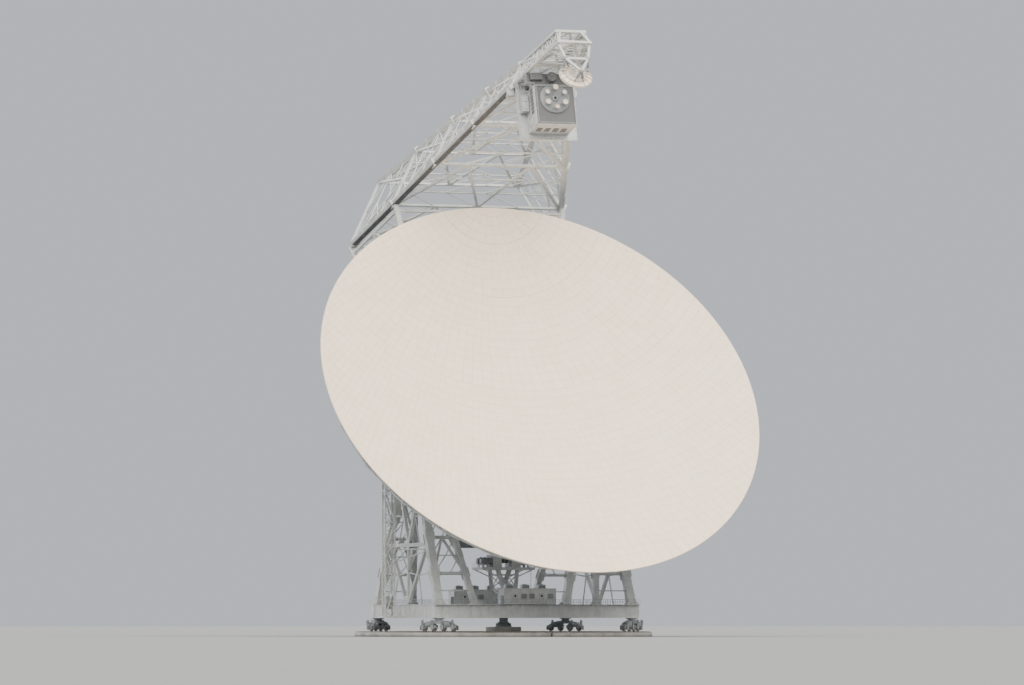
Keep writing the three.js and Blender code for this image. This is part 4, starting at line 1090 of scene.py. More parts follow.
def make_turret():
    turret, horns, covers = Shape(), Shape(), Shape()
    turret.spun([(0.5, 0.0), (3.4, 0.0), (3.4, 0.34), (3.28, 0.42), (0.5, 0.42)], 72, TURRET)
    turret.spun([(0.3, 0.4), (0.75, 0.4), (0.75, 0.62), (0.6, 0.72), (0.3, 0.72)], 32, TURRET)
    for x, y in circle(36, 3.05, middle=TURRET[:2]):
        turret.drum((x, y, 53.88), (x, y, 53.99), 0.07, 6)
    for k, (x, y) in enumerate(circle(6, 2.3, -90, TURRET[:2])):
        wide = 0.5 + 0.13 * (k % 2)
        horns.spun([(0.3, 0.0), (0.46, 0.0), (0.46, 0.12), (0.32, 0.16), (0.32, 0.35), (wide, 1.1),
                    (wide + 0.06, 1.12), (wide + 0.06, 1.18), (wide - 0.05, 1.18), (0.24, 0.4),
                    (0.24, 0.05)], 32, (x, y, 53.9))
        covers.drum((x, y, 54.9), (x, y, 55.02), wide - 0.06, 28, wide - 0.03)
    # The drum's dark machinery grey is partly painted shade, darkening the roof under the subreflector and
    # mast.
    turret.piece("feed_turret_drum", DISH, "dish_machinery_paint", 0.015, ("feed_turret",))
    horns.piece("feed_horns", DISH, "galvanised_steel")
    covers.piece("feed_windows", DISH, "panel_paint")


# Elevation wheel, spokes and counterweights

WHEEL_START, WHEEL_END = -10, 95
WHEEL_HUB_SIDE, WHEEL_WEB, RACK = 28.2, (28.3, 29.6), 29.82
WHEEL_BANDS = ((29.55, 29.72, -0.65, 0.65), (WHEEL_HUB_SIDE, 28.34, -0.65, 0.65),
               (*WHEEL_WEB, -0.5, -0.44), (*WHEEL_WEB, 0.44, 0.5),
               (29.72, 29.99, -0.63, -0.43), (29.72, 29.99, 0.43, 0.63))
SPOKE_ENDS = (((BOX_POST, BOX_Y, BOX_LOW), -8), ((BOX_POST, 0, BOX_LOW), 8), ((BOX_POST, 0, BOX_LOW), 26),
              *(((BOX_POST, -BOX_Y, box_top(-BOX_Y)), angle) for angle in (62, 78, 93)))


def wheel_point(angle, radius, x=0.0):
    turn = math.radians(angle)
    return Vector((x, -radius * math.sin(turn), -radius * math.cos(turn)))


def wheel_spokes(sign):
    return [(*on_side([root], sign), wheel_point(angle, WHEEL_HUB_SIDE, 0.3 * sign))
            for root, angle in SPOKE_ENDS]


def make_wheel():
    rim = Shape()
    turns = [WHEEL_START + (WHEEL_END - WHEEL_START) * k / 168 for k in range(169)]
    for inner, outer, x0, x1 in WHEEL_BANDS:
        section = ((inner, x0), (outer, x0), (outer, x1), (inner, x1))
        rim.skin([[wheel_point(turn, radius, x) for radius, x in section] for turn in turns])
    rim.piece("elevation_wheel_rim", DISH, "dish_machinery_paint", replaced=("elevation_wheel",))
    ribs, teeth, bolts, fans = [], [], [], []
    for k in range(71):
        turn = WHEEL_START + 1.5 * k
        ribs += [(*(wheel_point(turn, radius, x) for radius in WHEEL_WEB), 0.05, 0.17, ALONG_X)
                 for x in (-0.56, 0.56)]
    for k in range(316):
        turn = k / 3 - 9.6
        left, right = (wheel_point(turn, RACK, x) for x in (-0.42, 0.42))
        teeth.append((left, right, 0.09, 0.26, wheel_point(turn, 1)))
        if k % 3 == 0:
            bolts += [(wheel_point(turn, WHEEL_HUB_SIDE, x), wheel_point(turn, WHEEL_HUB_SIDE - 0.08, x), 0.1)
                      for x in (-0.3, 0.3)]
    for sign in SIDES:
        spokes = wheel_spokes(sign)
        for share in (0.3, 0.55, 0.78):
            for here, after in ((0, 1), (1, 2), (3, 4), (4, 5)):
                start = between(*spokes[here], share)
                fans.append((start, between(*spokes[after], share), 0.26))
                if share < 0.7:
                    fans.append((start, between(*spokes[after], share + 0.23), 0.22))
    for left, right in zip(wheel_spokes(-1), wheel_spokes(1)):
        fans += [(between(*left, share), between(*right, share), width)
                 for share, width in ((0.3, 0.28), (0.6, 0.26))]
    members("elevation_wheel_ribs", DISH, "box", ribs, "dish_machinery_paint")
    members("elevation_rack_teeth", DISH, "box", teeth, "machined_steel")
    members("elevation_wheel_bolts", DISH, "bolt", bolts)
    members("wheel_spoke_lacing", DISH, "tube", fans)


def make_counterweights():
    hung = around(-44, "X")
    front, back, low, high = -7.5, 7.5, -28, -18.6
    section = (0.22, 0.26)
    ribs, eyes = [], []
    for sign in SIDES:
        near, far = 0.7 * sign, 9.5 * sign
        for k in range(7):
            y = front + 2.5 * k
            ribs += [((x, y, low), (x, y, high), *section, ALONG_X) for x in (near, far)]
            ribs += [((near, y, z), (far, y, z), *section, UP) for z in (low, high)]
        for k in range(5):
            z = low + 2.35 * k
            ribs += [((near, y, z), (far, y, z), *section, ALONG_Y) for y in (front, back)]
            ribs += [((x, front, z), (x, back, z), *section, ALONG_X) for x in (near, far)]
        for k in range(1, 5):
            x = near + (far - near) * k / 5
            ribs += [((x, y, low), (x, y, high), *section, ALONG_Y) for y in (front, back)]
        eyes += uprights([(x * sign, y) for x in (1.7, 4.6, 8.4) for y in (-5, 0, 5)], (-18.5, -17.95, 0.3))
    members("counterweight_ribs", DISH, "box", moved(hung, ribs), "dish_machinery_paint")
    members("counterweight_lifting_eyes", DISH, "bolt", moved(hung, eyes))


# Track and foundations

BOLT_CIRCLES = (30.85, 33.15)


def make_track():
    footing, rail = Shape(), Shape()
    for i in range(4):
        footing.spun([(30.4, 0), (33.6, 0), (33.6, 0.8), (33.5, 0.9), (30.5, 0.9), (30.4, 0.8)], 72,
                     start=90 * i + 0.3, sweep=89.4)
    for i in range(24):
        rail.spun([(31.1, 0.903), (32.9, 0.903), (32.9, 0.985), (31.1, 0.985)], 12,
                  start=15 * i + 0.05, sweep=14.9)
        rail.spun([(31.4, 0.98), (32.6, 0.98), (32.6, 1.16), (32.56, 1.2), (31.44, 1.2), (31.4, 1.16)], 12,
                  start=15 * i + 7.54, sweep=14.92)
    footings = [f"track_footing_{i}" for i in (1, 2, 3, 4)]
    footing.piece("track_footing_ring", GROUND, replaced=footings)
    rail.piece("azimuth_track_plates", GROUND, "rolled_rail", replaced=("azimuth_track",))
    clips, anchors, nuts = [], [], []
    plan = [(radius, 0) for radius in BOLT_CIRCLES]
    for k in range(360):
        here = around(k)
        clips += moved(here, [((x - 0.28, y, 0.96), (x + 0.28, y, 0.96), 0.3, 0.12) for x, y in plan])
        anchors += moved(here, uprights(plan, (0.9, 1.2, 0.09)))
        nuts += moved(here, uprights(plan, (1.0, 1.1, 0.17)))
    members("track_clips", GROUND, "box", clips, "machinery_paint")
    members("track_anchor_bolts", GROUND, "bolt", anchors + nuts)


def make_pintle():
    pier, bearing = Shape(), Shape()
    pier.spun([(0.05, 0), (4, 0), (4, 2.08), (3.88, 2.2), (0.05, 2.2)], 96)
    bearing.spun([(0.05, 2.203), (1.9, 2.203), (1.9, 2.36), (1.3, 2.44), (1.3, 3.1), (1.5, 3.16), (1.5, 3.2),
                  (1.0, 3.3), (1.0, 6.4), (0.92, 6.45), (0.05, 6.45)], 64)
    for k in range(12):
        bearing.block((1.25, -0.05, 2.4), (1.75, 0.05, 3.0), around(30 * k + 15))
    pier.piece("pintle_pier", GROUND, replaced=("pintle_foundation",))
    bearing.piece("pintle_bearing_housing", GROUND, "machinery_paint", replaced=("pintle_bearing",))
    studs = uprights(circle(24, 1.68, 7.5), (2.3, 2.62, 0.08), (2.36, 2.5, 0.17))
    members("pintle_bolts", GROUND, "bolt", studs)


# Wheel trucks

TREAD_BOTTOM, WHEEL_RADIUS = 1.203, 0.734
WHEEL_HUB = TREAD_BOTTOM + WHEEL_RADIUS
TRUCK_ANGLES = (45, 135, 225, 315)
TRUCK_STEP = 4.3
TREAD = ((0.09, -0.27), (0.24, -0.27), (0.24, -0.1), (0.58, -0.08), (0.6, -0.25), (0.71, -0.25),
         (WHEEL_RADIUS, -0.22), (WHEEL_RADIUS, 0.22), (0.71, 0.25), (0.6, 0.25), (0.58, 0.08), (0.24, 0.1),
         (0.24, 0.27), (0.09, 0.27))
BOGIE_HALF = ((0.8, 0.1), (1.9, -0.05), (1.9, 0.55), (0.9, 1.12))
EQUALISER_HALF = ((3.2, 0.96), (3.2, 1.3), (1.5, 1.62))
EQUALISER_PLATE_HALF = ((1.6, 1.0), (1.9, 0.5), (3.1, 0.5), (3.1, 1.2), (1.4, 1.6))
MOTOR_DRUMS = ((0.8, 1.0, 0.3, 24), (1.0, 1.72, 0.26, 24), (1.72, 1.86, 0.28, 24, 0.2))


def on_track(degrees):
    """The frame of a wheel hub: X outwards, Y along the track."""
    return around(degrees) @ at(TRACK_RADIUS, 0, WHEEL_HUB)


def make_trucks():
    wheels, frames, motors, brushes, pins = Shape(), Shape(), Shape(), Shape(), []
    top = BEAM_BOTTOM - WHEEL_HUB
    for angle in TRUCK_ANGLES:
        for step in (-1.5, -0.5, 0.5, 1.5):
            hub = on_track(angle + step * TRUCK_STEP)
            wheels.spun(TREAD, 48, place=hub @ around(90, "Y"))
            frames.drum((-0.78, 0, 0), (0.78, 0, 0), 0.16, 20, place=hub)
            for x in (-0.58, 0.58):
                frames.drum((x - 0.1, 0, 0), (x + 0.1, 0, 0), 0.36, 28, place=hub)
                frames.post((x, 0), (0.1, 0.42), -0.1, 0.46, hub)
            pins += moved(hub, [((0.66, y, z), (0.74, y, z), 0.07) for y, z in circle(6, 0.27)])
            motors.blocks(((0.76, -0.34, -0.34), (1.1, 0.34, 0.8)), ((1.14, -0.12, 1.2), (1.34, 0.12, 1.5)),
                          place=hub)
            for low, high, *sizes in MOTOR_DRUMS:
                motors.drum((0.94, 0, low), (0.94, 0, high), *sizes, place=hub)
            for k in range(12):
                fin = hub @ at(0.94, 0, 1.36) @ around(30 * k)
                motors.block((0.25, -0.012, -0.3), (0.3, 0.012, 0.3), fin)
        for sign in SIDES:
            here = on_track(angle + sign * TRUCK_STEP)
            for x in (-0.62, 0.36):
                frames.prism(mirrored(BOGIE_HALF), "yz", x, x + 0.26, here)
            frames.post((0, 0), (0.5, 0.7), 0.15, 1.08, here)
            frames.post((0, 0), (0.64, 1.0), 1.04, 1.14, here)
            frames.drum((-1.0, 0, 0.86), (1.0, 0, 0.86), 0.26, 24, place=here)
            brushes.block((-0.6, sign * 1.9, -0.45), (0.6, sign * 2.15, 0.5), here)
        here = on_track(angle)
        frames.prism(mirrored(EQUALISER_HALF), "yz", -0.7, 0.7, here)
        for x in (-0.86, 0.78):
            frames.prism(mirrored(EQUALISER_PLATE_HALF), "yz", x, x + 0.08, here)
        frames.spun([(0.1, 1.6), (1.1, 1.6), (1.1, 1.72), (0.9, 1.8), (0.9, top - 0.15), (1.35, top - 0.15),
                     (1.35, top - 0.003), (0.1, top - 0.003)], 48, place=here)
        pins += moved(here, uprights(circle(16, 1.22), (top - 0.27, top - 0.14, 0.12)))
    names = [f"truck_{end}_{side}" for end in ("front", "rear") for side in ("left", "right")]
    wheels.piece("truck_wheels", FRAME, "rolled_rail")
    frames.piece("truck_frames", FRAME, "machinery_paint", 0.02, names)
    motors.piece("truck_motors", FRAME, "machinery_paint", 0.015)
    brushes.piece("truck_track_brushes", FRAME, "louvre", 0.02)
    members("truck_bolts", FRAME, "bolt", pins)


# Base frame

SWAP_XY = Matrix(((0, 1, 0, 0), (1, 0, 0, 0), (0, 0, 1, 0), (0, 0, 0, 1)))


def make_base():
    plates, ribs, bolts = [], [], []
    reach, end = CORNER + 1.4, CORNER - 1.1
    rib_span = (BEAM_BOTTOM + 0.12, BEAM_TOP - 0.12)
    for side in SIDES:
        middle = side * CORNER
        for z in (BEAM_BOTTOM + 0.06, BEAM_TOP - 0.06):
            for lane in (middle - 1.16, middle + 1.16):
                plates.append(((-reach, lane, z), (reach, lane, z), 0.16, 0.12))
                plates.append(((lane, -end, z), (lane, end, z), 0.16, 0.12))
        for k in range(-11, 12):
            for lane in (middle - 1.12, middle + 1.12):
                if abs(k) < 11:
                    ribs += uprights([(lane, 2.0 * k)], (*rib_span, 0.06, 0.16, ALONG_Y))
                ribs += uprights([(2.1 * k, lane)], (*rib_span, 0.16, 0.06, ALONG_Y))
        for x in (-14.7, -1.0, 14.7):
            for out in SIDES:
                y = middle + 1.13 * out
                plates.append(((x - 0.7, y, 5.7), (x + 0.7, y, 5.7), 2.3, 0.06, ALONG_Y))
                heads = [(x - 0.55 + 0.22 * i, 4.85 + 0.57 * j) for i in range(6) for j in range(4)]
                bolts += [((a, y, z), (a, y + 0.1 * out, z), 0.1) for a, z in heads]
    members("base_beam_flanges", FRAME, "box", plates)
    members("base_beam_stiffeners", FRAME, "box", ribs)
    members("base_beam_bolts", FRAME, "bolt", bolts)
    cross = []
    for lane in (-0.94, 0.94):
        for z in (BEAM_BOTTOM + 0.46, BEAM_TOP - 0.46):
            cross += [((side * 2.5, lane, z), (side * (CORNER - 1.15), lane, z), 0.14, 0.12)
                      for side in SIDES]
        plan = [(side * (k - 0.2), lane) for k in range(3, 22, 2) for side in SIDES]
        cross += uprights(plan, (BEAM_BOTTOM + 0.5, BEAM_TOP - 0.5, 0.06, 0.12, ALONG_Y))
    members("cross_beam_stiffeners", FRAME, "box", cross + moved(SWAP_XY, cross))
    hub = Shape()
    for z in (4.62, 6.66):
        hub.spun([(1.2, z), (2.86, z), (2.86, z + 0.12), (1.2, z + 0.12)], 64)
    hub.spun([(1.06, 6.78), (1.7, 6.78), (1.7, 6.92), (1.5, 7.0), (1.06, 7.0)], 48)
    hub.piece("pintle_hub_rings", FRAME, bevel=0.02)
    members("pintle_hub_bolts", FRAME, "bolt", uprights(circle(30, 2.7), (6.76, 6.9, 0.13)))


def make_base_walks():
    reach, end, inner, edge = CORNER + 1.4, CORNER - 2, CORNER - 0.9, CORNER + 2.2
    walks, brackets = [], []
    for side in SIDES:
        y, z = side * (CORNER + 1.7), BEAM_TOP - 0.14
        walks.append(((-reach, y, z), (reach, y, z), 1.1, 0.06))
        y, z = side * (CORNER + 1.15), BEAM_TOP - 0.25
        brackets += [((2.1 * k, y, z), (2.1 * k, side * edge, z), 0.08, 0.16) for k in range(-11, 12)]
    members("base_walkway_gratings", FRAME, "box", walks, "galvanised_steel")
    members("base_walkway_brackets", FRAME, "beam", brackets)
    lines = ((-CORNER - 0.9, -end, -2), (-CORNER - 0.9, 2, end), (CORNER + 0.9, -end, end),
             (-inner, -end, -3), (-inner, 3, end), (inner, -end, -3), (inner, 3, end))
    railings("base_railings", FRAME, [
        *((BEAM_TOP - 0.1, (-reach, y), (reach, y)) for y in (-edge, edge)),
        *((BEAM_TOP, (x, y0), (x, y1)) for x, y0, y1 in lines)])


# Towers

LEG_OUTER = ((CORNER, CORNER, 6.8), (BEARING_X + 0.9, 2.6, 45.0))
LEG_INNER = ((14.2, CORNER, 6.8), (BEARING_X - 1, 2.6, 45.0))
LEG_SHARES = (0.19, 0.4, 0.6, 0.8)
QUARTERS = [(sign_x, sign_y) for sign_x in SIDES for sign_y in SIDES]


def in_quarter(line, sign_x, sign_y):
    return tuple((p[0] * sign_x, p[1] * sign_y, p[2]) for p in line)


def plate_bolts(middle, along, across, out, size, rows, columns, step=0.26):
    """Rows of bolt heads on a splice plate."""
    along, across, out = (Vector(v).normalized() for v in (along, across, out))
    bolts = []
    for i in range(rows):
        for j in range(columns):
            p = Vector(middle) + along * step * (i - (rows - 1) / 2) + across * step * (j - (columns - 1) / 2)
            bolts.append((p, p + out * size * 0.7, size))
    return bolts


def make_towers():
    webs, ladders, plates, bolts = [], [], [], []
    shares = (0.09, *divided(LEG_SHARES), 0.88)
    for quarter in QUARTERS:
        outer, inner = in_quarter(LEG_OUTER, *quarter), in_quarter(LEG_INNER, *quarter)
        facing = (0, 37.0 * quarter[1], 20.0)
        out = Vector(facing).normalized()
        rows = [stations(outer, shares), stations(inner, shares)]
        middle = halfway(*rows)
        for i in range(1, len(shares) - 2):
            webs.append((rows[0][i], middle[i + 1], 0.26, 0.26, facing))
            webs.append((rows[1][i + 1], middle[i], 0.26, 0.26, facing))
        webs += rungs_between(rows[0][:-1], rows[1][:-1], 0.3, 0.3, facing)
        for line, width, columns in ((outer, 1.7, 5), (inner, 1.2, 4)):
            along = Vector(line[1]) - Vector(line[0])
            across = along.cross(out).normalized()
            for p in stations(line, (0.05, 0.3, 0.5, 0.7)):
                half = along.normalized() * 0.75
                plates.append((p - half, p + half, width + 0.1, width + 0.1, facing))
                for side, spread in ((out, across), (-out, across), (across, out), (-across, out)):
                    place = p + side * (width / 2 + 0.05)
                    bolts += plate_bolts(place, along, spread, side, 0.1, 6, columns)
            for share in LEG_SHARES:
                for side in (-out, out):
                    p = between(*line, share) + side * (width / 2 + 0.02)
                    plates.append((p - out * 0.04, p + out * 0.04, width + 0.5, 2.4, along))
                    bolts += plate_bolts(p + side * 0.04, along, across, side, 0.1, 6, 4, 0.34)
        foot, head = (p - out for p in stations(inner, (0.02, 0.98)))
        ladders += ladder(foot, head, ALONG_X)
        holds = stations(inner, [k / 20 for k in range(1, 20)])
        ladders += [(p - out * 0.5, p - out, 0.07) for p in holds]
    members("tower_lacing", FRAME, "tube", webs)
    members("tower_splices", FRAME, "box", plates)
    members("tower_bolts", FRAME, "bolt", bolts)
    members("tower_ladders", FRAME, "bolt", ladders)


def make_tower_feet():
    feet, bolts = Shape(), []
    for quarter in QUARTERS:
        for line, half in ((LEG_OUTER, 1.5), (LEG_INNER, 1.1)):
            x, y, _ = in_quarter(line, *quarter)[0]
            feet.post((x, y), (half, 1.05), BEAM_TOP, BEAM_TOP + 0.12)
            for side in SIDES:
                tip, root = x + side * (half - 0.1), x + side * 0.55
                rib = [(tip, BEAM_TOP + 0.1), (root, BEAM_TOP + 0.1), (root, BEAM_TOP + 1.3)]
                for lane in (y - 0.6, y + 0.6):
                    feet.prism(rib, "xz", lane - 0.04, lane + 0.04)
            plan = [(x + i * half * 0.42, y + lane) for i in range(-2, 3) for lane in (-0.85, 0.85)]
            bolts += uprights(plan, (BEAM_TOP + 0.1, BEAM_TOP + 0.26, 0.15))
    feet.piece("tower_feet", FRAME, bevel=0.015)
    members("tower_foot_bolts", FRAME, "bolt", bolts)


LOW_TIE, HIGH_TIE = 0.36, 0.69


def make_side_frames():
    webs, plates, bolts = [], [], []
    for sign in SIDES:
        legs = [in_quarter(LEG_OUTER, sign, end) for end in SIDES]
        for share, inset in ((LOW_TIE, 0.5 / 7), (HIGH_TIE, 0.1)):
            tie_ends = stations([between(*leg, share) for leg in legs], (inset, 1 - inset))
            for side in (-0.42, 0.42):
                plates += [(p + Vector((side, -0.9, 0)), p + Vector((side, 0.9, 0)), 0.05, 1.0, ALONG_X)
                           for p in tie_ends]
        low_middle, high_middle = halfway(*(stations(leg, (LOW_TIE, HIGH_TIE)) for leg in legs))
        foot = Vector((sign * CORNER, 0, BEAM_TOP - 0.4))
        heart = between(foot, low_middle, 0.55)
        for end, leg in zip(SIDES, legs):
            low, high = stations(leg, (LOW_TIE, HIGH_TIE))
            corner = Vector((sign * CORNER, end * (CORNER - 1.6), BEAM_TOP))
            knee = between(low_middle, low, 0.5)
            joint = between(foot, low, 0.5)
            webs += [(joint, between(*leg, 0.2), 0.34), (joint, between(corner, foot, 0.5), 0.34),
                     (joint, heart, 0.3), (heart, knee, 0.3)]
            joint = between(low_middle, high, 0.5)
            webs += [(joint, between(*leg, 0.54), 0.32), (joint, knee, 0.32),
                     (joint, between(high_middle, high, 0.5), 0.3), (high_middle, between(*leg, 0.9), 0.4)]
        for p in (foot + Vector((0, 0, 1.2)), low_middle, high_middle):
            for side in (-0.38, 0.38):
                off = Vector((side, 0, 0))
                plates += gussets([p + off], ALONG_X, 2.6, 2.2, 0.06)
                bolts += plate_bolts(p + off * 1.08, UP, ALONG_Y, off, 0.11, 4, 6, 0.36)
    members("side_frame_lacing", FRAME, "tube", webs)
    members("side_frame_gussets", FRAME, "box", plates)
    members("side_frame_bolts", FRAME, "bolt", bolts)


# Elevation bearings and drive

# Steps of a drive motor: where each starts, its radius and its length.
DRIVE_DRUMS = ((3.2, 0.85, 0.2), (3.4, 0.72, 0.7), (4.1, 0.78, 0.12), (4.22, 0.62, 1.5), (5.72, 0.66, 0.22))
DRIVE_Y = (-1.3, 1.3)
DRIVE_DECK, MOTOR_AXIS, PINION_AXIS = 15.6, 17.0, 17.33
BEARING_SEAT, BEARING_DECK = 45.58, 45.5
PEDESTAL_LEG = ((0.5, 6, 6.6), (2.4, 2.6, 15.2))


def make_bearings():
    housings, lubricators, studs, walks, paths = Shape(), Shape(), [], [], []
    for sign in SIDES:
        x = sign * BEARING_X
        for side in SIDES:
            web = [(side * 2.55, BEARING_SEAT), (side * 3.8, BEARING_SEAT), (side * 2.55, 47.6)]
            for lane in (x - 1.5, x - 0.5, x + 0.5, x + 1.5):
                housings.prism(web, "yz", lane - 0.06, lane + 0.06)
            for low in (47.95, 48.23):
                housings.post((x, side * 2.86), (1.64, 0.34), low, low + 0.22)
            plan = [(x + lane, side * 2.92) for lane in (-1.25, -0.75, -0.25, 0.25, 0.75, 1.25)]
            studs += uprights(plan, (47.8, 48.62, 0.14), (48.45, 48.58, 0.26))
        for face in SIDES:
            ring = at(x + face * 1.6, 0, AXLE_HEIGHT) @ around(face * 90, "Y")
            housings.spun([(1.44, -0.05), (2.25, -0.05), (2.25, 0.16), (2.1, 0.24), (1.7, 0.24), (1.6, 0.4),
                           (1.44, 0.4)], 64, place=ring)
            studs += [((x + face * 1.8, y, z), (x + face * 1.94, y, z), 0.16)
                      for y, z in circle(24, 1.93, middle=(0, AXLE_HEIGHT))]
        housings.drum((x, 0, 50.7), (x, 0, 50.95), 0.22, 16)
        housings.post((x, 0), (2.7, 4.1), 44.08, 44.2)
        lubricators.post((x, -3.6), (0.5, 0.35), 45.62, 46.5)
        for can in (x - 0.7, x + 0.5):
            lubricators.drum((can, 3.55, 45.62), (can, 3.55, 46.3), 0.24, 20)
        inner, outer = sign * 18.6, sign * 24.85
        walks.append(((sign * 24.2, -4.6, BEARING_DECK), (sign * 24.2, 4.6, BEARING_DECK), 1.4, 0.08))
        walks += [((inner, y, BEARING_DECK), (sign * 24.9, y, BEARING_DECK), 1.2, 0.08) for y in (-4.6, 4.6)]
        paths.append((BEARING_DECK + 0.05, (inner, -5.15), (outer, -5.15), (outer, 5.15), (inner, 5.15)))
        bracket = [(sign * 23.5, 45.45), (sign * 24.8, 45.45), (sign * 24.8, 45.3), (sign * 23.5, 44.5)]
        for y in (-4.6, -2.0, 2.0, 4.6):
            housings.prism(bracket, "xz", y - 0.06, y + 0.06)
    housings.piece("bearing_housings", FRAME, bevel=0.02)
    lubricators.piece("bearing_lubricators", FRAME, "machinery_paint", 0.02)
    members("bearing_bolts", FRAME, "bolt", studs)
    members("bearing_platforms", FRAME, "box", walks, "galvanised_steel")
    railings("bearing_railings", FRAME, paths)


def make_shafts():
    flanges, bolts = Shape(), []
    for sign in SIDES:
        outwards = around(sign * 90, "Y")
        flanges.spun([(0.05, -0.02), (1.3, -0.02), (1.3, 0.1), (1.05, 0.18), (0.6, 0.18), (0.5, 0.34),
                      (0.05, 0.34)], 56, place=at(sign * 23.08) @ outwards)
        for x in (16.42, 16.9):
            flanges.spun([(1.3, 0.0), (2.12, 0.0), (2.12, 0.14), (1.3, 0.14)], 64,
                         place=at(sign * x) @ outwards)
        for outer, inner in zip(circle(20, 1.17), circle(20, 1.75)):
            bolts.append(((sign * 23.1, *outer), (sign * 23.28, *outer), 0.13))
            bolts.append(((sign * 17.0, *inner), (sign * 17.16, *inner), 0.2))
    flanges.piece("shaft_flanges", DISH, "dish_machinery_paint", 0.01)
    members("shaft_bolts", DISH, "bolt", bolts)


def gear_outline(middle, radius, teeth, height):
    points = []
    for k in range(teeth):
        for share, reach in ((0.0, -0.5), (0.18, -0.5), (0.32, 0.5), (0.52, 0.5), (0.68, -0.5)):
            points.append(on_circle(radius + reach * height, 90 - 360 * (k + share) / teeth, *middle))
    return points


def make_drive():
    pinions, motors, plates, bolts = Shape(), Shape(), Shape(), []
    for y in DRIVE_Y:
        pinions.prism(gear_outline((y, PINION_AXIS), 0.72, 20, 0.16), "yz", -0.45, 0.45)
        pinions.drum((-1.32, y, PINION_AXIS), (1.32, y, PINION_AXIS), 0.28, 24)
    for sign in SIDES:
        for y in DRIVE_Y:
            for x, radius, length in DRIVE_DRUMS:
                motors.drum((sign * x, y, MOTOR_AXIS), (sign * (x + length), y, MOTOR_AXIS), radius, 28)
            for k in range(20):
                fin = at(sign * 4.97, y, MOTOR_AXIS) @ around(18 * k, "X")
                motors.block((-0.7, 0.6, -0.02), (0.7, 0.68, 0.02), fin)
            motors.post((sign * 4.95, y), (0.3, 0.25), 17.6, 17.92)
            plates.post((sign * 4.9, y), (0.7, 0.6), 16.16, 16.3)
            for x in (4.35, 5.4):
                plates.post((sign * x, y), (0.05, 0.5), DRIVE_DECK, 16.5)
            bolts += [((sign * 3.38, a, b), (sign * 3.48, a, b), 0.1)
                      for a, b in circle(12, 0.77, middle=(y, MOTOR_AXIS))]
        for z in (DRIVE_DECK, 18.28):
            plates.post((sign * 2.25, 0), (1.03, 2.5), z, z + 0.12)
        for y in (-2.39, 0, 2.39):
            plates.post((sign * 2.25, y), (1.01, 0.06), 15.7, 18.3)
    plates.post((0, 0), (6.3, 3.9), DRIVE_DECK - 0.16, DRIVE_DECK)
    for y in (-3.72, 3.72):
        plates.post((0, y), (6.2, 0.1), 15.0, DRIVE_DECK - 0.16)
    for x in (-6.1, -3.5, 3.5, 6.1):
        plates.post((x, 0), (0.1, 3.7), 15.0, DRIVE_DECK - 0.16)
    pinions.piece("drive_pinions", FRAME, "machined_steel")
    motors.piece("drive_motors", FRAME, "machinery_paint", 0.015)
    plates.piece("drive_mounting_plates", FRAME, bevel=0.015)
    members("drive_bolts", FRAME, "bolt", bolts)


def make_pedestal():
    """The bracing, railings and ladder of the drives' pedestal."""
    webs = []
    sides = [((-1, y), (1, y)) for y in SIDES] + [((x, -1), (x, 1)) for x in SIDES]
    for quarters in sides:
        for shares in ((0.15, 0.5), (0.5, 0.85)):
            (low_a, high_a), (low_b, high_b) = (stations(in_quarter(PEDESTAL_LEG, *quarter), shares)
                                                for quarter in quarters)
            webs += [(low_a, high_b, 0.26), (low_b, high_a, 0.26), (high_a, high_b, 0.3)]
    webs += [((2.6 * x, 2.9 * y, 13.6), (6.0 * x, 3.5 * y, 15.2), 0.26) for x, y in QUARTERS]
    members("drive_pedestal_bracing", FRAME, "tube", webs)
    paths = [(DRIVE_DECK, (sign * 1.6, -3.8), (sign * 6.2, -3.8), (sign * 6.2, 3.8), (sign * 1.6, 3.8))
             for sign in SIDES]
    railings("drive_railings", FRAME, paths, 1.0)
    members("drive_ladder", FRAME, "bolt", ladder((6.5, 0, 7.0), (6.5, 0, 16.6), ALONG_Y))


# Equipment rooms and lift

ROOM_PLACES = ((-8.0, -CORNER - 1.9), (-5.0, CORNER - 2.1))
ROOM_FLOOR = BEAM_TOP + 0.003
ROOM_LENGTH, ROOM_WIDTH, ROOM_HEIGHT = 12, 4, 3.4
LIFT_X, LIFT_HALF, LIFT_TOP = -27.2, 1.1, 47.0
LIFT = at(LIFT_X)
LANDING_LEVELS = (18.5, 32.6, 44.9)


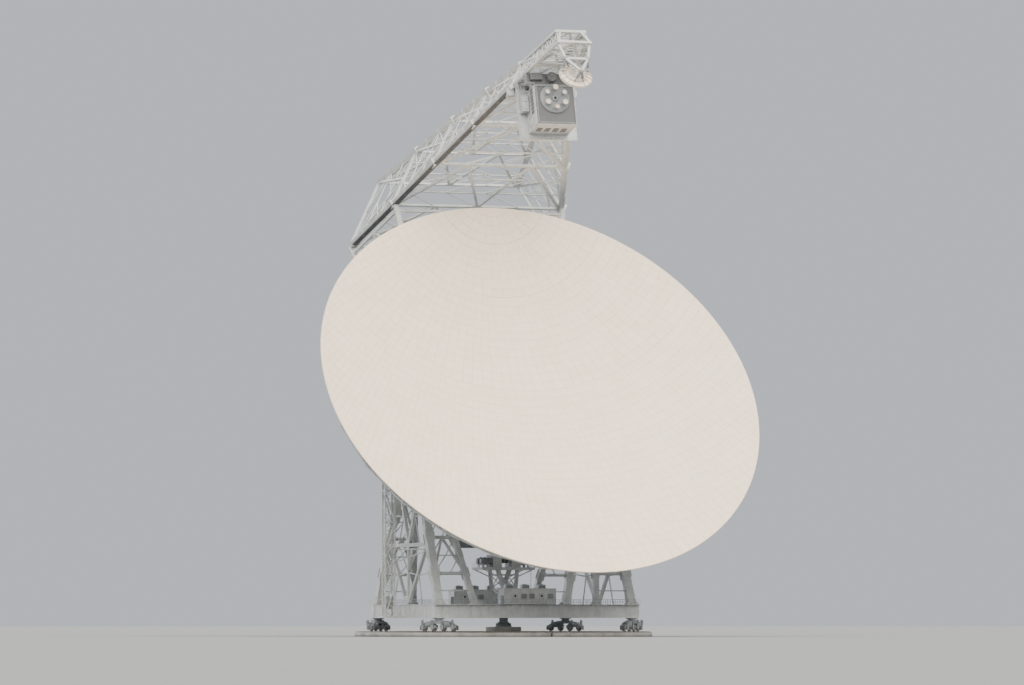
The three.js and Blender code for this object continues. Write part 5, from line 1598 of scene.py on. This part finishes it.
def make_rooms():
    trim, dark, glass, coolers = (Shape() for _ in range(4))
    top = ROOM_HEIGHT
    for place in ROOM_PLACES:
        here = at(*place, ROOM_FLOOR)
        trim.blocks(((-0.15, -0.15, top - 0.02), (ROOM_LENGTH + 0.15, ROOM_WIDTH + 0.15, top + 0.14)),
                    ((-0.06, -0.06, 0), (ROOM_LENGTH + 0.06, ROOM_WIDTH + 0.06, 0.22)), place=here)
        for x in (0, ROOM_LENGTH):
            for y in (0, ROOM_WIDTH):
                trim.post((x, y), (0.08, 0.08), 0, top, here)
        for wall, sign in ((0, -1), (ROOM_WIDTH, 1)):
            for x in (2.5, 8.7):
                trim.post((x, wall), (0.6, 0.07), 0.2, 2.5, here)
                trim.post((x, wall + sign * 0.1), (0.5, 0.03), 0.24, 2.4, here)
                dark.post((x + 0.39, wall + sign * 0.16), (0.04, 0.04), 1.2, 1.4, here)
                glass.post((x, wall + sign * 0.13), (0.2, 0.03), 1.6, 2.1, here)
            for x in (4.6, 6.4, 10.8):
                trim.post((x, wall), (0.68, 0.09), 1.2, 2.4, here)
                for z in [1.28 + 0.135 * k for k in range(8)]:
                    dark.post((x, wall + sign * 0.08), (0.6, 0.06), z, z + 0.08, here)
        for x in (1.6, 5.4, 9.2):
            coolers.post((x, 2), (0.9, 0.8), top + 0.14, top + 0.95, here)
            coolers.drum((x, 2, top + 0.95), (x, 2, top + 1.06), 0.62, 28, place=here)
            dark.drum((x, 2, top + 1.05), (x, 2, top + 1.09), 0.54, 28, place=here)
            for z in [top + 0.26 + 0.12 * k for k in range(5)]:
                dark.post((x, 1.19), (0.75, 0.03), z, z + 0.06, here)
        coolers.block((-0.7, 0.6, 0.1), (-0.1, 2.6, 1.9), here)
        coolers.drum((ROOM_LENGTH + 0.35, 1.2, 0), (ROOM_LENGTH + 0.35, 1.2, 2.8), 0.14, 16, place=here)
    trim.piece("equipment_room_trim", FRAME, bevel=0.012)
    dark.piece("equipment_room_louvres", FRAME, "louvre", 0.008)
    glass.piece("equipment_room_windows", FRAME, "window_glass", 0.008)
    coolers.piece("equipment_room_coolers", FRAME, "galvanised_steel", 0.02)


def make_lift():
    fine = []
    levels = [4.4 + (LIFT_TOP - 4.6) * k / 24 for k in range(25)]
    corners = [(x * LIFT_HALF, y * LIFT_HALF) for x, y in ((-1, -1), (1, -1), (1, 1), (-1, 1))]
    for (xa, ya), (xb, yb) in zip(corners, corners[1:] + corners[:1]):
        out = (xa + xb, ya + yb, 0)
        fine += lacing([(xa, ya, z) for z in levels], [(xb, yb, z) for z in levels], 0.11, out)
    guides = uprights([(-0.86, 0), (0.86, 0)], (4.4, 46.8, 0.1, 0.16, ALONG_X))
    guides += uprights([(-0.1, 0.3), (0.1, 0.3)], (9.0, 46.9, 0.04))
    members("lift_lacing", FRAME, "box", moved(LIFT, fine))
    members("lift_guides", FRAME, "box", moved(LIFT, guides), "galvanised_steel")
    car, house = Shape(), Shape()
    for half, low, high in (((0.8, 0.9), 6.2, 8.7), ((0.84, 0.94), 6.1, 6.26), ((0.84, 0.94), 8.66, 8.8)):
        car.post((0, 0), half, low, high, LIFT)
    car.block((-0.2, -0.2, 8.8), (0.2, 0.5, 9.1), LIFT)
    for x in (-0.295, 0.295):
        for y in (-0.915, 0.915):
            car.post((x, y), (0.255, 0.015), 6.4, 8.4, LIFT)
    house.post((0, 0), (1.35, 1.35), 46.95, 47.1, LIFT)
    house.prism([(-1.3, 47.1), (1.3, 47.1), (1.3, 48.5), (0, 48.9), (-1.3, 48.5)], "yz", -1.25, 1.25, LIFT)
    car.piece("lift_car", FRAME, "machinery_paint", 0.02)
    house.piece("lift_machine_house", FRAME, "room_cladding", 0.02)


def make_landings():
    left, right, near = LIFT_X - 1.2, LIFT_X + 1.2, LIFT_X + LIFT_HALF
    decks, paths, ties = [], [], []
    for z in LANDING_LEVELS:
        decks.append(((left, -1.9, z), (right, -1.9, z), 1.4, 0.08))
        paths.append((z + 0.05, (right, -1.3), (right, -2.55), (left, -2.55), (left, -1.3)))
        for x in (LIFT_X - LIFT_HALF, near):
            ties.append(((x, -1.1, z - 1.1), (x, -2.5, z - 0.06), 0.14))
            ties.append(((x, -1.1, z - 0.1), (x, -2.5, z - 0.1), 0.14))
    for z, share in ((19.6, 0.33), (33.6, 0.7)):
        for sign in SIDES:
            leg = between(*in_quarter(LEG_OUTER, -1, sign), share)
            ties.append(((near, sign * LIFT_HALF, z), leg, 0.3))
            ties.append(((near, sign * LIFT_HALF, z - 3), leg, 0.22))
    paths += [(45.1, (-26.0, y), (-25.0, y)) for y in (-1.12, 1.12)]
    members("lift_landings", FRAME, "box", decks, "galvanised_steel")
    members("lift_ties", FRAME, "tube", ties)
    railings("lift_railings", FRAME, paths)


# Camera, light and floor

# Degrees round the Z axis from +X, for 18.5 degrees to the left of the dish's front.
CAMERA_TURN = -90 - 18.5
CAMERA_DISTANCE = 128.0
CAMERA_HEIGHT = 0.3
CAMERA_LENS = 199
CAMERA_TARGET = Vector((0, -0.6, 6.62))
SUNS = (("key_light", 6.6, 75, (1.0, 0.945, 0.855), (0.12, 0.95, -1.05)),
        ("back_light", 1.3, 60, (0.95, 0.98, 1.0), (0.55, -1.0, -0.45)))


def looking(heading):
    return Vector(heading).to_track_quat("-Z", "Y").to_euler()


def make_stage():
    eye = Vector((*on_circle(CAMERA_DISTANCE, CAMERA_TURN), CAMERA_HEIGHT))
    data = bpy.data.cameras.new("camera")
    data.lens = CAMERA_LENS
    data.sensor_width = 36
    data.clip_end = 2000
    camera = bpy.data.objects.new("camera", data)
    camera.location = eye
    camera.rotation_euler = looking(CAMERA_TARGET - eye)
    scene.collection.objects.link(camera)
    scene.camera = camera

    mesh = bpy.data.meshes.new("floor")
    mesh.from_pydata([(-400, -400, 0), (400, -400, 0), (400, 400, 0), (-400, 400, 0)], [], [(0, 1, 2, 3)])
    floor = bpy.data.objects.new("floor", mesh)
    scene.collection.objects.link(floor)
    paint = Paint("studio_floor")
    cloud = paint.noise(0.2)
    colour = paint.mix(cloud, (0.27, 0.275, 0.28), (0.29, 0.295, 0.30))
    mesh.materials.append(paint.close(colour, cloud * 0.1 + 0.8, paint.bump(cloud, 0.001)))

    world = bpy.data.worlds.new("studio")
    world.use_nodes = True
    sky = world.node_tree.nodes["Background"]
    sky.inputs["Color"].default_value = (0.80, 0.84, 0.90, 1)
    sky.inputs["Strength"].default_value = 0.75
    scene.world = world

    for name, energy, spread, colour, heading in SUNS:
        sun = bpy.data.lights.new(name, "SUN")
        sun.energy = energy
        sun.angle = math.radians(spread)
        sun.color = colour
        lamp = bpy.data.objects.new(name, sun)
        lamp.rotation_euler = looking(heading)
        scene.collection.objects.link(lamp)


for make in (paint_nodes, make_reflector, make_backing, make_jacks, make_box, make_feed_arm,
             make_horizontal_arm, make_cable_run, make_mast, make_subreflector, make_mirror_jacks,
             make_receiver_room, make_turret, make_wheel, make_counterweights, make_track, make_pintle,
             make_trucks, make_base, make_base_walks, make_towers, make_tower_feet, make_side_frames,
             make_bearings, make_shafts, make_drive, make_pedestal, make_rooms, make_lift,
             make_landings, make_stage):
    make()
